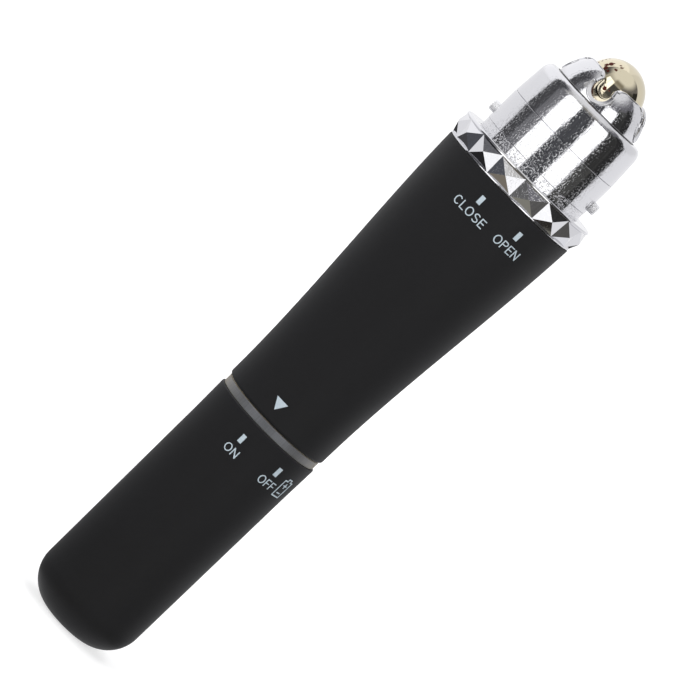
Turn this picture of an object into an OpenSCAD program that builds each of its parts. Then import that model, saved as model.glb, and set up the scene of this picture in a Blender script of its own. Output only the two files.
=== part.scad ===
// Pen-shaped facial massager that runs on one battery. A steel ball rolls in a four-prong cage at its tip,
// a motor with an off-centre weight shakes it, and turning the sleeve at the butt switches it on and off.
// Z runs from the flat butt to the ball, and the front of the product, where its marks stand, faces -Y.

/* [Housing] */
// Length from the butt to the top edge of the grip
housing_len = 109.7; // [109:0.1:150]
// Length of the battery sleeve, from the butt to the switch seam
sleeve_len = 50.5; // [44:0.1:60]
// Diameter of the battery sleeve under its mouth; a thicker cell or wall makes it larger
sleeve_d = 22.44; // [22.4:0.02:30]
// Radius that the sleeve loses from its mouth down to its butt
sleeve_draft = 0.2; // [0:0.01:0.5]
// Radius that the sleeve gains again towards its mouth, where the curve of the grip begins
sleeve_flare = 0.12; // [0:0.01:0.4]
// Height of that flare
sleeve_flare_h = 7; // [2:0.5:15]
// Radius of the rounding all round the butt
butt_round = 7; // [4:0.1:8]
// Wall of the battery sleeve
sleeve_wall = 1.42; // [1.2:0.02:1.8]
// Floor of the battery sleeve
sleeve_floor = 2; // [1.2:0.1:3]
// Diameter of the grip at its top edge
grip_top_d = 29.2; // [28:0.1:36]
// Millimetres that the grip's radius grows per millimetre at its top edge
grip_end_slope = 0.031; // [0:0.001:0.06]
// Wall of the grip
grip_wall = 1.8; // [1.5:0.05:1.85]
// Wall of the grip round the socket for the head
mouth_wall = 1.8; // [1.2:0.05:2]
// Rounding of the grip's lower edge
grip_edge_round = 0.6; // [0.2:0.05:1]
// Number of ribs that hold the chassis inside the grip
grip_ribs = 6; // [3:1:10]

/* [Switch] */
// Height of the satin ring between sleeve and grip
switch_ring_h = 1.56; // [1:0.02:3]
// Depth of the ring's edge under the skin of the sleeve
switch_ring_recess = 0.34; // [0.1:0.02:0.8]
// Open seam between two outer pieces that turn on each other
seam_gap = 0.12; // [0.05:0.01:0.3]
// Least wall of the ring's skirt, between the cell's cradle and the sleeve
skirt_wall = 1.2; // [1.1:0.02:2]
// Length of the ring's skirt inside the sleeve
skirt_len = 5.6; // [4:0.1:9]
// Width of the keys that make the sleeve turn with the ring
key_w = 2.2; // [1:0.1:4]
// Height of these keys over the skirt
key_h = 0.5; // [0.3:0.05:0.6]
// Angle that the sleeve turns from ON to OFF
switch_angle = 45; // [20:1:60]

/* [Battery] */
// Diameter of the cell
cell_d = 14.2; // [13.5:0.1:17.5]
// Length of the cell with its button
cell_len = 50.5; // [44:0.1:51]
// Diameter of the cell's button
cell_button_d = 5.5; // [3:0.1:7]
// Height of the cell's button
cell_button_h = 1.1; // [0.5:0.1:2]
// Wall of the cradle that holds the cell
cradle_wall = 1.1; // [0.9:0.05:1.6]
// Height of the negative spring as fitted
spring_h = 5.4; // [4.5:0.1:7]
// Radius of the spring at its foot
spring_r_low = 4.6; // [3.5:0.1:5]
// Radius of the spring at its top
spring_r_top = 2.8; // [1.5:0.1:3.4]
// Wire of the spring
spring_wire = 0.7; // [0.4:0.05:0.8]
// Turns of the spring
spring_turns = 4; // [3:1:4]

/* [Motor] */
// Diameter of the motor can
motor_d = 15.5; // [12:0.1:15.6]
// Width of the motor across its two flats
motor_flat = 12; // [11.4:0.1:14]
// Length of the motor can
motor_len = 20; // [15:0.5:22]
// Diameter of the motor shaft
shaft_d = 2; // [1.5:0.1:2.5]
// Radius of the off-centre weight
weight_r = 5.9; // [4:0.1:6.4]
// Length of the off-centre weight
weight_len = 5.5; // [3:0.1:6]
// Rubber round the motor
boot_wall = 0.7; // [0.5:0.05:0.8]

/* [Facet ring] */
// Height of the faceted ring
facet_h = 4.45; // [3:0.05:6]
// Number of pyramids round the ring
facet_count = 16; // [10:1:24]
// Radius that the ring's foot stands proud of the grip
facet_proud = 0.05; // [0:0.05:0.6]
// Radius that the ring gains from its foot to its top
facet_flare = 0.38; // [0:0.02:1]
// Height of each pyramid over the ring's rims
facet_peak = 0.55; // [0.2:0.05:1]
// Depth of the pyramids' corners under the ring's rims
facet_valley = 0.2; // [0.05:0.05:0.3]
// Plain rim above and below the pyramids
facet_rim = 0.16; // [0.1:0.02:0.4]
// Rounding of the ring's top edge
facet_round = 0.45; // [0.2:0.05:0.8]

/* [Head] */
// Diameter of the collar that carries the lug pins
collar_d = 23.9; // [22.4:0.1:27]
// Height of the plain neck between ring and collar
neck_h = 2; // [1:0.1:6]
// Height of the collar
collar_h = 6.7; // [5.5:0.1:10]
// Height of the head shell
shell_h = 7.75; // [7:0.05:12]
// Radius that the shell loses from its foot to its shoulder
shell_taper = 0.33; // [0:0.01:0.6]
// Width of the rounded shoulder on the shell
shell_round = 1.4; // [0.4:0.05:1.6]
// Height of that shoulder
shell_round_h = 2.4; // [0.4:0.1:3]
// Wall of the head shell
shell_wall = 1.65; // [1.2:0.05:1.7]
// Diameter of the two lug pins
pin_d = 2.1; // [1.5:0.1:3]
// Length of the lug pins outside the collar
pin_proud = 1.2; // [0.6:0.1:2]
// Height of the lug pins over the collar's lower edge
pin_rise = 1.85; // [1.6:0.05:2.2]
// Angle that the head turns from CLOSE to OPEN
head_angle = 35; // [15:1:40]
// Angle by which facets and notches stand to the left of the front marks at CLOSE
head_clocking = 2; // [0:0.5:11]
// Depth of the head's spigot in the grip
spigot_len = 7.9; // [7:0.1:7.9]

/* [Ball] */
// Diameter of the massage ball
ball_d = 12; // [9:0.1:12.6]
// Height of the ball's centre over the shell's top face
ball_rise = 3.65; // [3.4:0.05:5]
// Running gap round the ball
ball_gap = 0.08; // [0.05:0.01:0.1]
// Wall of the cage at the ball's middle
cage_wall = 3.1; // [2:0.1:3.1]
// Height of the prongs over the ball's centre
prong_rise = 2.05; // [1.2:0.05:2.6]
// Width of the notches between the prongs, at the ball
notch_w = 3.3; // [2:0.1:4]
// Width that a notch gains on each side, per millimetre from the ball outwards
notch_flare = 0.37; // [0.1:0.01:0.5]
// Depth of the centre of a notch's round foot under the ball's centre
notch_drop = 0.2; // [0:0.1:1.5]
// Rounding of the prongs' upper corners
prong_round = 1.6; // [0.5:0.1:1.8]

/* [Hidden] */
$fn = 96;

// Clearance of pieces that are fixed to each other, of running fits, and the overshoot of a cut
fit = 0.05;
run = 0.08;
cut = 1;

// Levels of the outer pieces, from the butt to the ball
ring_z0 = sleeve_len + seam_gap;
ring_z1 = ring_z0 + switch_ring_h;
grip_z0 = ring_z1 + seam_gap;
grip_z1 = housing_len;
facet_z0 = grip_z1 + seam_gap;
facet_z1 = facet_z0 + facet_h;
neck_z1 = facet_z1 + neck_h;
collar_z0 = neck_z1 + fit;
collar_z1 = neck_z1 + collar_h;
shell_z0 = collar_z1 + fit;
shell_z1 = shell_z0 + shell_h;
ball_z = shell_z1 + ball_rise;

// Radii from the cell outwards: its cradle, the switch ring's bore and skirt, and the sleeve round them
cell_r = cell_d / 2;
cell_play = 0.25;
cradle_bore_r = cell_r + cell_play;
journal_r = cradle_bore_r + cradle_wall;
ring_bore_r = journal_r + run;
sleeve_r = max(sleeve_d / 2, ring_bore_r + skirt_wall + fit + sleeve_wall);
sleeve_bore_r = sleeve_r - sleeve_wall;
skirt_r = sleeve_bore_r - fit;
butt_r = sleeve_r - sleeve_draft;
mouth_r = sleeve_r + sleeve_flare;
sleeve_edge = 0.2;
rim_edge = 0.1;
skirt_z0 = ring_z0 - skirt_len;
key_angles = [0, 120, 240];
key_play = 0.15;
key_end_play = 0.4;
sleeve_oring_r = 0.4;
sleeve_oring_z = ring_z0 - 2;

// The strip that leads current from the spring up the sleeve's wall, and the pad it wipes on
strip_t = 0.3;
strip_w = 4;
strip_gap = 0.15;
strip_play = 0.3;
wiper_r = 0.45;
wiper_z = skirt_z0 + 1.2;
wiper_play = 0.5;
pad_t = 0.35;
pad_w = 5;
pad_h = 3.2;
pad_play = 0.15;
tail_w = 2.8;

// Levels of the cell, its contacts and the bulkhead over it
spring_z0 = sleeve_floor + strip_gap + strip_t + fit;
cell_z0 = spring_z0 + spring_h + fit;
cell_z1 = cell_z0 + cell_len;
plate_t = 0.4;
plate_r = cradle_bore_r - 0.3;
plate_z0 = cell_z1 + fit;
bulkhead_z0 = plate_z0 + plate_t + fit;
bulkhead_t = 1.5;
bulkhead_z1 = bulkhead_z0 + bulkhead_t;
cradle_z0 = cell_z0 + 2.3;
window_w = 9;
window_z0 = cradle_z0 + 5;
window_z1 = skirt_z0 - 4;

// Solder tabs of the two contacts inside the chassis, and the slots that they pass
plus_tab_r = 4.8;
plus_tab_t = 0.4;
plus_tab_w = 1.2;
plus_slot_play = 0.4;
plus_slot_r = 6.4;
minus_tab_r = 5.1;
minus_tab_w = 1.8;
minus_tab_z = bulkhead_z1 + 1.8;
minus_slot_z0 = bulkhead_z1 + 1;
minus_slot_z1 = bulkhead_z1 + 3;

// The clip that keeps the switch ring on its journal, open at the back where the wiper passes
clip_t = 0.5;
clip_z1 = skirt_z0 - 0.2;
clip_z0 = clip_z1 - clip_t;
clip_depth = 0.4;
clip_proud = 0.5;
clip_r = journal_r + clip_proud;
clip_opening = switch_angle + 45;

// The grip, the chassis inside it and the motor, placed downwards from the head's socket
grip_low_r = mouth_r + 0.02;
grip_top_r = grip_top_d / 2;
grip_top_edge = 0.15;
grip_steps = 28;
grip_step_z = grip_z0 + 8;
grip_rib_z0 = grip_z0 + 9;
grip_rib_t = 1.2;
socket_r = grip_top_r - mouth_wall;
socket_z0 = facet_z0 - spigot_len - 0.4;
chassis_r = grip_low_r - grip_wall - fit;
shoulder_z = grip_z0 + 0.25;
cover_z1 = socket_z0 - 0.4;
cover_top_t = 1;
cover_h = 8;
cover_z0 = cover_z1 - cover_h;
cover_bore_r = weight_r + 1.1;
cover_wall = 1.2;
flange_t = 2.5;
flange_z0 = cover_z0 - fit - flange_t;
pocket_r = motor_d / 2 + boot_wall + fit;
motor_z1 = flange_z0 + 0.5;
motor_z0 = motor_z1 - motor_len;
bell_h = 3.5;
bell_z0 = motor_z0 - bell_h;
ledge_t = 1.4;
ledge_z0 = bell_z0 - ledge_t;
ledge_r = 5.6;
flange_r = grip_r(flange_z0) - grip_wall - 0.15;
boot_z0 = bell_z0 + 1.4;
screw_x = (pocket_r + flange_r) / 2;
screw_hole_r = 0.9;
screw_pass_r = 1.15;
screw_head_r = 1.5;
screw_head_h = 1.1;
screw_slot_w = 0.5;
screw_slot_l = 2;
cover_flange_t = 1.5;

// The steel parts of the motor, its end bell and what turns in it
can_t = 0.6;
can_top_t = 0.8;
shaft_r = shaft_d / 2;
shaft_bore_r = shaft_r + fit;
shaft_press = 0.02;
bush_r = 3;
bush_drop = 2.4;
bush_rise = 1.6;
bell_plug_h = 1.2;
bell_boss_r = 2.6;
bell_boss_h = 1;
magnet_end = 3.5;
magnet_arc = 90;
armature_r = 4.9;
armature_gap = 0.3;
armature_foot = 4.5;
armature_top = 4;
armature_shoe_t = 0.8;
armature_shoe_arc = 92;
armature_tooth_w = 1.5;
armature_hub_r = 2.2;
commutator_r = 1.9;
commutator_z0 = motor_z0 + 1.6;
weight_arc = 170;
terminal_x = 4.5;
terminal_t = 0.4;
terminal_w = 2;
terminal_h = 2.6;
terminal_root = 1.5;

// The socket and the spigot that lock the head to the grip
socket_bore_r = socket_r - fit - 1.65;
spigot_r = socket_bore_r - run;
spigot_wall = 1.6;
spigot_z0 = facet_z0 - spigot_len;
lug_reach = 1;
lug_h = 1.8;
lug_z0 = spigot_z0 + 1.4;
lug_arc = 24;
lug_play = 0.15;
lug_arc_play = 3;
lug_angles = [60, 180, 300];
head_oring_r = 0.45;
head_oring_z = facet_z0 - 2.2;

// The head's stack: ring, neck, collar, shell, gasket, seat and cage
collar_r = collar_d / 2;
neck_r = collar_r - 0.08;
lip_h = 0.5;
lip_r = neck_r + 0.45;
facet_r0 = grip_top_r + facet_proud;
facet_r1 = facet_r0 + facet_flare;
shell_r0 = collar_r - 0.02;
shell_r1 = shell_r0 - shell_taper;
shell_bore_r = shell_r0 - shell_wall + 0.02;
shell_edge = 0.08;
base_web_z0 = facet_z0 + 2.6;
base_web_t = 1.5;
base_spigot_r = shell_bore_r - 0.15;
base_spigot_wall = 1.2;
base_spigot_h = 3.2;
collar_web_z0 = collar_z0 + base_spigot_h + 0.6;
collar_spigot_h = 2.2;
collar_spigot_wall = 1.2;
gasket_w = 2.3;
gasket_t = 1.05;
gasket_z0 = collar_z1 + collar_spigot_h + fit;
seat_z0 = gasket_z0 + gasket_t + fit;
seat_t = 1.5;
seat_play = 0.1;
seat_drain_r = 1.2;
cage_z0 = seat_z0 + seat_t + fit;
shell_roof_t = 1.45;
shell_roof_z = shell_z1 - shell_roof_t;
pin_r = pin_d / 2;
pin_shank_r = pin_r - 0.25;
pin_tip = 0.2;
pin_z = collar_z0 + pin_rise;
ball_r = ball_d / 2;
cup_r = ball_r + ball_gap;
seat_z1 = ball_z - 3.4;
dome_r = ball_r + cage_wall;
dome_z = shell_z1 - 0.65;
dome_groove = 0.25;
prong_z = ball_z + prong_rise;
notch_r = notch_w / 2;
notch_z = min(ball_z - notch_drop, prong_z - prong_round - fit);
notch_land = 0.2;

// Route of each motor lead, between its solder joints: sideways, then up as a share of the free height
lead_r = 0.5;
lead_z0 = bulkhead_z1 + 1.6;
lead_z1 = bell_z0 - terminal_h + 0.5;
lead_rise = lead_z1 - lead_z0;
plus_route = [
    [-5.9, 0, 0], [-6, 0.4, 0.2], [-5.9, 1.3, 0.4],
    [-5.6, 1.9, 0.6], [-5.4, 1.5, 0.85], [-5.4, 0.9, 1],
];
minus_route = [
    [0, 5.9, 0.32], [1, 5.9, 0.36], [2.6, 5.3, 0.42],
    [4.2, 4.2, 0.55], [5.2, 2.4, 0.8], [5.4, 0.9, 1],
];

// Points of an arc round [x, y], from angle a0 to a1
function arc(x, y, r, a0, a1, n = 12) =
    [for (i = [0:n]) let (a = a0 + (a1 - a0) * i / n) [x + r * cos(a), y + r * sin(a)]];

// Radius of the grip's skin at height z: level at the foot, an S-curve, and still widening at the top
function grip_r(z) =
    let (span = grip_z1 - grip_z0, u = (z - grip_z0) / span)
    grip_low_r + (grip_top_r - grip_low_r) * (3 * u * u - 2 * u * u * u)
    + grip_end_slope * span * (u * u * u - u * u);

// A swept round tube: rings of points round a path, joined by triangles
function unit(v) = v / norm(v);
function heading(path, i) = unit(path[min(i + 1, len(path) - 1)] - path[max(i - 1, 0)]);
function ring_points(centre, along, side, r, sides) =
    let (u = unit(cross(along, side)), v = cross(along, u))
    [for (j = [0:sides - 1]) centre + r * (cos(360 * j / sides) * u + sin(360 * j / sides) * v)];
function side_faces(i, j, sides) =
    let (a = i * sides + j, b = i * sides + (j + 1) % sides)
    [[a, a + sides, b + sides], [a, b + sides, b]];

module swept_tube(path, r, sides, side) {
    last = len(path) - 1;
    points = [for (i = [0:last]) each ring_points(path[i], heading(path, i), side, r, sides)];
    foot = [for (j = [1:sides - 2]) [0, j, j + 1]];
    top = [for (j = [1:sides - 2]) [last * sides, last * sides + j + 1, last * sides + j]];
    walls = [for (i = [0:last - 1], j = [0:sides - 1]) each side_faces(i, j, sides)];
    polyhedron(points, concat(foot, top, walls));
}

module tube(r_out, r_in, z0, z1) {
    translate([0, 0, z0]) difference() {
        cylinder(r = r_out, h = z1 - z0);
        translate([0, 0, -cut]) cylinder(r = r_in, h = z1 - z0 + 2 * cut);
    }
}

module disc(r, z0, z1) {
    translate([0, 0, z0]) cylinder(r = r, h = z1 - z0);
}

// A slice of a ring, centred on an angle that is counted from the front towards +X
module ring_slice(r_in, r_out, z0, z1, middle, width) {
    rotate([0, 0, middle - width / 2 - 90]) rotate_extrude(angle = width)
        translate([r_in, z0]) square([r_out - r_in, z1 - z0]);
}

// A sector of a disc, under half a turn wide, centred on an angle that is counted as above
module sector(r, z0, z1, middle, width) {
    far = 2 * r;
    intersection() {
        disc(r, z0, z1);
        rotate([0, 0, middle - 90]) translate([0, 0, z0 - cut]) linear_extrude(z1 - z0 + 2 * cut)
            polygon([[0, 0], [far, -far * tan(width / 2)], [far, far * tan(width / 2)]]);
    }
}

// A block that reaches outwards from the axis, at an angle counted from the front towards +X
module spoke(r_in, r_out, w, z0, z1, angle) {
    rotate([0, 0, angle - 90]) translate([r_in, -w / 2, z0]) cube([r_out - r_in, w, z1 - z0]);
}

// Battery sleeve: closed at the butt, flat inside under the spring, with three key slots at its mouth
module sleeve_cavity(inset) {
    r = sleeve_bore_r - inset;
    corner = min(butt_round - sleeve_wall, sleeve_bore_r - spring_r_low - spring_wire) - inset;
    rotate_extrude() polygon(concat(
        [[0, sleeve_floor + inset]],
        arc(r - corner, sleeve_floor + inset + corner, corner, -90, 0),
        [[r, sleeve_len + cut], [0, sleeve_len + cut]]));
}

module battery_sleeve() {
    color("#2a2a2c") difference() {
        rotate_extrude() polygon(concat(
            [[0, 0]],
            arc(butt_r - butt_round, butt_round, butt_round, -90, 0, 20),
            [[sleeve_r, sleeve_len - sleeve_flare_h]],
            arc(mouth_r - sleeve_edge, sleeve_len - sleeve_edge, sleeve_edge, 0, 90, 4),
            [[0, sleeve_len]]));
        sleeve_cavity(0);
        for (a = key_angles)
            spoke(sleeve_bore_r - cut, skirt_r + key_h + key_play, key_w + 2 * key_play,
                  skirt_z0 - key_end_play, sleeve_len + cut, a);
    }
}

// Negative spring: one conical coil, flat at both ends
spring_flat = 0.75;
function spring_share(u) =
    let (share = (u * spring_turns - spring_flat) / (spring_turns - 2 * spring_flat))
    min(max(share, 0), 1);
function spring_point(u) =
    let (r = spring_r_low + (spring_r_top - spring_r_low) * u,
         z = spring_z0 + spring_wire / 2 + (spring_h - spring_wire) * spring_share(u),
         a = 360 * spring_turns * u)
    [r * cos(a), r * sin(a), z];
spring_steps = 12 * spring_turns;
spring_apart = 8;
spring_path = [for (i = [0:spring_steps]) spring_point(i / spring_steps)];
spring_least = min([for (i = [0:spring_steps - spring_apart], j = [i + spring_apart:spring_steps])
    norm(spring_path[i] - spring_path[j])]);
echo(spring_least_gap = spring_least - spring_wire);

module negative_spring() {
    color("#c9ccd0") swept_tube(spring_path, spring_wire / 2, 6, [0, 0, 1]);
}

// Contact strip: a band that follows the sleeve's inner wall from the floor up to the wiper
module contact_strip() {
    color("#c8a04a") {
        intersection() {
            difference() {
                sleeve_cavity(strip_gap);
                sleeve_cavity(strip_gap + strip_t);
            }
            spoke(0, sleeve_r, strip_w, 0, wiper_z + 1.5 * wiper_r, 180);
        }
        disc(spring_r_low + spring_wire, sleeve_floor + strip_gap, sleeve_floor + strip_gap + strip_t);
        rotate([0, 0, 90]) translate([journal_r + run + wiper_r, 0, wiper_z]) rotate([90, 0, 0])
            cylinder(r = wiper_r, h = strip_w, center = true);
    }
}

// Switch ring: a satin rim that shows, and a keyed skirt on which the sleeve is pushed
module switch_ring() {
    rim_r = mouth_r - switch_ring_recess;
    groove_r = skirt_r - 2 * sleeve_oring_r;
    color("#7c7c80") difference() {
        union() {
            rotate_extrude() polygon(concat(
                [[0, ring_z0]],
                arc(rim_r - rim_edge, ring_z0 + rim_edge, rim_edge, -90, 0, 3),
                arc(rim_r - rim_edge, ring_z1 - rim_edge, rim_edge, 0, 90, 3),
                [[0, ring_z1]]));
            disc(skirt_r, skirt_z0, ring_z0 + fit);
            for (a = key_angles)
                spoke((ring_bore_r + skirt_r) / 2, skirt_r + key_h, key_w, skirt_z0, ring_z0 + fit, a);
        }
        disc(ring_bore_r, skirt_z0 - cut, ring_z1 + cut);
        spoke(0, sleeve_r, strip_w + 2 * strip_play, skirt_z0 - cut, wiper_z + wiper_r + wiper_play, 180);
        tube(sleeve_r, groove_r,
             sleeve_oring_z - sleeve_oring_r - fit, sleeve_oring_z + sleeve_oring_r + fit);
    }
}

module sleeve_oring() {
    color("#1c1c1e") translate([0, 0, sleeve_oring_z]) rotate_extrude()
        translate([skirt_r + fit / 2 - sleeve_oring_r, 0]) circle(r = sleeve_oring_r, $fn = 24);
}

// Chassis: cell cradle, journal for the switch ring, bulkhead and motor pocket in one moulding
module chassis() {
    color("#e4e2dc") difference() {
        union() {
            disc(journal_r, cradle_z0, shoulder_z + fit);
            disc(chassis_r, shoulder_z, flange_z0 + fit);
            disc(flange_r, flange_z0, flange_z0 + flange_t);
        }
        disc(cradle_bore_r, cradle_z0 - cut, bulkhead_z0);
        disc(cradle_bore_r, bulkhead_z1, ledge_z0);
        disc(ledge_r, ledge_z0 - cut, bell_z0 + cut);
        disc(pocket_r, bell_z0, flange_z0 + flange_t + cut);
        for (a = [90, 270]) spoke(0, chassis_r, window_w, window_z0, window_z1, a);
        tube(chassis_r, journal_r - clip_depth, clip_z0 - fit, clip_z1 + fit);
        contact_slot(tail_w + 2 * pad_play, wiper_z, minus_slot_z1);
        contact_slot(pad_w + 2 * pad_play, wiper_z - pad_h / 2 - fit, wiper_z + pad_h / 2 + fit);
        spoke(cradle_bore_r - cut, chassis_r, tail_w + 2 * pad_play, minus_slot_z0, minus_slot_z1, 180);
        spoke(plus_tab_r - plus_slot_play, plus_slot_r, plus_tab_w + plus_slot_play,
              bulkhead_z0 - cut, bulkhead_z1 + cut, 270);
        for (s = [-1, 1]) translate([s * screw_x, 0, flange_z0 - cut])
            cylinder(r = screw_hole_r, h = flange_t + 2 * cut);
    }
}

// Room for the switch contact in the chassis's skin, as deep as the contact's own round
module contact_slot(w, z0, z1) {
    intersection() {
        tube(chassis_r + cut, journal_r - pad_t - 2 * fit, z0, z1);
        spoke(0, chassis_r + 2 * cut, w, z0, z1, 180);
    }
}

// Retaining clip: a spring-steel C in the journal's groove, under the switch ring's skirt
module retaining_clip() {
    color("#b9bcc0") ring_slice(journal_r - clip_depth + fit, clip_r, clip_z0, clip_z1,
                                 -switch_angle / 2, 360 - clip_opening);
}

// The cell: a jacketed can and its button
module battery_can() {
    foot = 0.5;
    shoulder = 0.8;
    can_z1 = cell_z1 - cell_button_h;
    color("#8f9aa3") rotate_extrude() polygon(concat(
        [[0, cell_z0], [cell_r - foot, cell_z0], [cell_r, cell_z0 + foot]],
        arc(cell_r - shoulder, can_z1 - shoulder, shoulder, 0, 90, 6),
        [[0, can_z1]]));
}

module battery_cap() {
    color("#d7d9db") disc(cell_button_d / 2, cell_z1 - cell_button_h, cell_z1);
}

// Positive contact: a sprung plate over the button, with a solder tab through the bulkhead
module positive_contact() {
    color("#c8a04a") {
        disc(plate_r, plate_z0, plate_z0 + plate_t);
        spoke(plus_tab_r, plus_tab_r + plus_tab_t, plus_tab_w, plate_z0, lead_z0 + lead_r + 0.1, 270);
    }
}

// Switch contact: the pad that the wiper meets at ON, and a tail with a solder tab inside the chassis
module switch_contact() {
    r = journal_r - fit;
    color("#c8a04a") {
        intersection() {
            tube(r, r - pad_t, wiper_z - pad_h / 2, wiper_z + pad_h / 2);
            spoke(0, r + cut, pad_w, 0, housing_len, 180);
        }
        intersection() {
            tube(r, r - pad_t, wiper_z, minus_tab_z + pad_t);
            spoke(0, r + cut, tail_w, 0, housing_len, 180);
        }
        spoke(minus_tab_r, r - pad_t / 2, minus_tab_w, minus_tab_z, minus_tab_z + pad_t, 180);
    }
}

// Outline of the motor: a round with two flats
module motor_outline(grow) {
    intersection() {
        circle(r = motor_d / 2 + grow);
        square([motor_d * 2, motor_flat + 2 * grow], center = true);
    }
}

module motor_prism(z0, z1, grow) {
    translate([0, 0, z0]) linear_extrude(z1 - z0) motor_outline(grow);
}

module motor_boot() {
    color("#3a3a3d") difference() {
        disc(pocket_r - fit, boot_z0, flange_z0 + flange_t);
        motor_prism(bell_z0, motor_z1 + fit, fit);
        disc(ledge_r, motor_z1, flange_z0 + flange_t + cut);
    }
}

module motor_can() {
    color("#aeb3b8") difference() {
        motor_prism(motor_z0, motor_z1, 0);
        motor_prism(motor_z0 - cut, motor_z1 - can_top_t, -can_t);
        disc(bush_r + fit, motor_z0, motor_z1 + cut);
    }
}

module motor_magnets() {
    color("#4b4e52") for (a = [90, 270])
        ring_slice(armature_r + armature_gap, motor_d / 2 - can_t - fit,
                   motor_z0 + magnet_end, motor_z1 - magnet_end, a, magnet_arc);
}

module motor_end_bell() {
    color("#d9d4c4") difference() {
        union() {
            motor_prism(bell_z0, motor_z0, -fit);
            motor_prism(motor_z0 - fit, motor_z0 + bell_plug_h, -can_t - fit);
            disc(bell_boss_r, bell_z0 - bell_boss_h, bell_z0 + fit);
        }
        disc(shaft_bore_r, bell_z0 - 2 * cut, motor_z0 + bell_plug_h + cut);
        for (a = [90, 270])
            spoke(terminal_x - terminal_t / 2 - fit, terminal_x + terminal_t / 2 + fit, terminal_w + 0.3,
                  bell_z0 - cut, bell_z0 + terminal_root + 0.1, a);
    }
}

module motor_terminals() {
    color("#c8a04a") for (a = [90, 270])
        spoke(terminal_x - terminal_t / 2, terminal_x + terminal_t / 2, terminal_w,
              bell_z0 - terminal_h, bell_z0 + terminal_root, a);
}

module motor_bush() {
    color("#b58a4a") tube(bush_r, shaft_bore_r, motor_z1 - bush_drop, motor_z1 + bush_rise);
}

// Motor leads: two short insulated wires from the contacts' tabs to the motor's terminals
module lead(route) {
    swept_tube([for (p = route) [p[0], p[1], lead_z0 + p[2] * lead_rise]], lead_r, 8, [1, 0.2, 0]);
}

module motor_leads() {
    color("#b03028") lead(plus_route);
    color("#202022") lead(minus_route);
}

// Weight cover: a flanged cup over the off-centre weight, screwed on to the chassis
module weight_cover() {
    color("#e4e2dc") difference() {
        union() {
            disc(flange_r, cover_z0, cover_z0 + cover_flange_t);
            disc(cover_bore_r + cover_wall, cover_z0, cover_z1);
        }
        disc(cover_bore_r, cover_z0 - cut, cover_z1 - cover_top_t);
        for (s = [-1, 1]) translate([s * screw_x, 0, cover_z0 - cut])
            cylinder(r = screw_pass_r, h = cover_flange_t + 2 * cut);
    }
}

module cover_screws() {
    head_z0 = cover_z0 + cover_flange_t + fit;
    slot_z0 = head_z0 + screw_head_h - screw_slot_w;
    color("#b9bcc0") for (s = [-1, 1]) translate([s * screw_x, 0, 0]) difference() {
        union() {
            disc(screw_hole_r - fit, flange_z0 + 0.1, head_z0 + fit);
            disc(screw_head_r, head_z0, head_z0 + screw_head_h);
        }
        for (turn = [0, 90]) rotate([0, 0, turn])
            translate([-screw_slot_w / 2, -screw_slot_l / 2, slot_z0])
                cube([screw_slot_w, screw_slot_l, cut]);
    }
}

// Grip: the outer moulding, with its S-curve, ribs for the chassis and a wider mouth for the socket
function grip_curve(z0, z1, inset) =
    [for (i = [0:grip_steps]) let (z = z0 + (z1 - z0) * i / grip_steps) [grip_r(z) - inset, z]];

module grip_skin_profile() {
    curve_z0 = grip_z0 + grip_edge_round;
    polygon(concat(
        [[0, grip_z0]],
        arc(grip_low_r - grip_edge_round, curve_z0, grip_edge_round, -90, -15, 5),
        grip_curve(curve_z0, grip_z1 - grip_top_edge, 0),
        [[grip_top_r - grip_top_edge, grip_z1], [0, grip_z1]]));
}

module grip_bore_profile() {
    bore_r = chassis_r + fit;
    polygon(concat(
        [[0, grip_z0 - cut], [bore_r, grip_z0 - cut], [bore_r, grip_step_z]],
        grip_curve(grip_rib_z0, socket_z0, grip_wall),
        [[socket_r, socket_z0], [socket_r, grip_z1 + cut], [0, grip_z1 + cut]]));
}

// What the ribs may fill: from the chassis out to the middle of the grip's wall
module grip_rib_profile() {
    polygon(concat(
        [[chassis_r + fit, grip_rib_z0]],
        grip_curve(grip_rib_z0, flange_z0, grip_wall / 2),
        [[chassis_r + fit, flange_z0]]));
}

module grip_body() {
    color("#2a2a2c") {
        difference() {
            rotate_extrude() grip_skin_profile();
            rotate_extrude() grip_bore_profile();
        }
        for (i = [0:grip_ribs - 1]) intersection() {
            spoke(chassis_r + fit, grip_top_r, grip_rib_t,
                  grip_rib_z0, flange_z0 - fit, 360 * i / grip_ribs);
            rotate_extrude() grip_rib_profile();
        }
    }
}

// Bayonet socket: a ring in the grip's mouth with a track for each lug, open to the top at OPEN
module bayonet_socket() {
    track_r = spigot_r + lug_reach + lug_play;
    slot_arc = lug_arc + lug_arc_play;
    track_arc = slot_arc + head_angle + 2;
    color("#d8d6d0") difference() {
        tube(socket_r - fit, socket_bore_r, socket_z0 + fit, grip_z1 - 2 * fit);
        for (a = lug_angles) {
            sector(track_r + 2 * fit, lug_z0 - lug_play, lug_z0 + lug_h + lug_play,
                   a + head_angle / 2, track_arc);
            sector(track_r, lug_z0, grip_z1 + cut, a + head_angle, slot_arc);
        }
    }
}

// Motor shaft, armature and off-centre weight turn together
module motor_shaft() {
    color("#d5d8db") disc(shaft_r, bell_z0 - 0.8, cover_z1 - cover_top_t - 0.4);
}

module armature() {
    stack_z0 = motor_z0 + armature_foot;
    stack_z1 = motor_z1 - armature_top;
    color("#b06a3a") difference() {
        union() {
            for (a = [0, 120, 240]) {
                ring_slice(armature_r - armature_shoe_t, armature_r,
                           stack_z0, stack_z1, a, armature_shoe_arc);
                spoke(shaft_r, armature_r - armature_shoe_t / 2, armature_tooth_w, stack_z0, stack_z1, a);
            }
            disc(armature_hub_r, stack_z0, stack_z1);
            disc(commutator_r, commutator_z0, stack_z0 + fit);
        }
        disc(shaft_r + shaft_press, motor_z0, motor_z1);
    }
}

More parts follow.
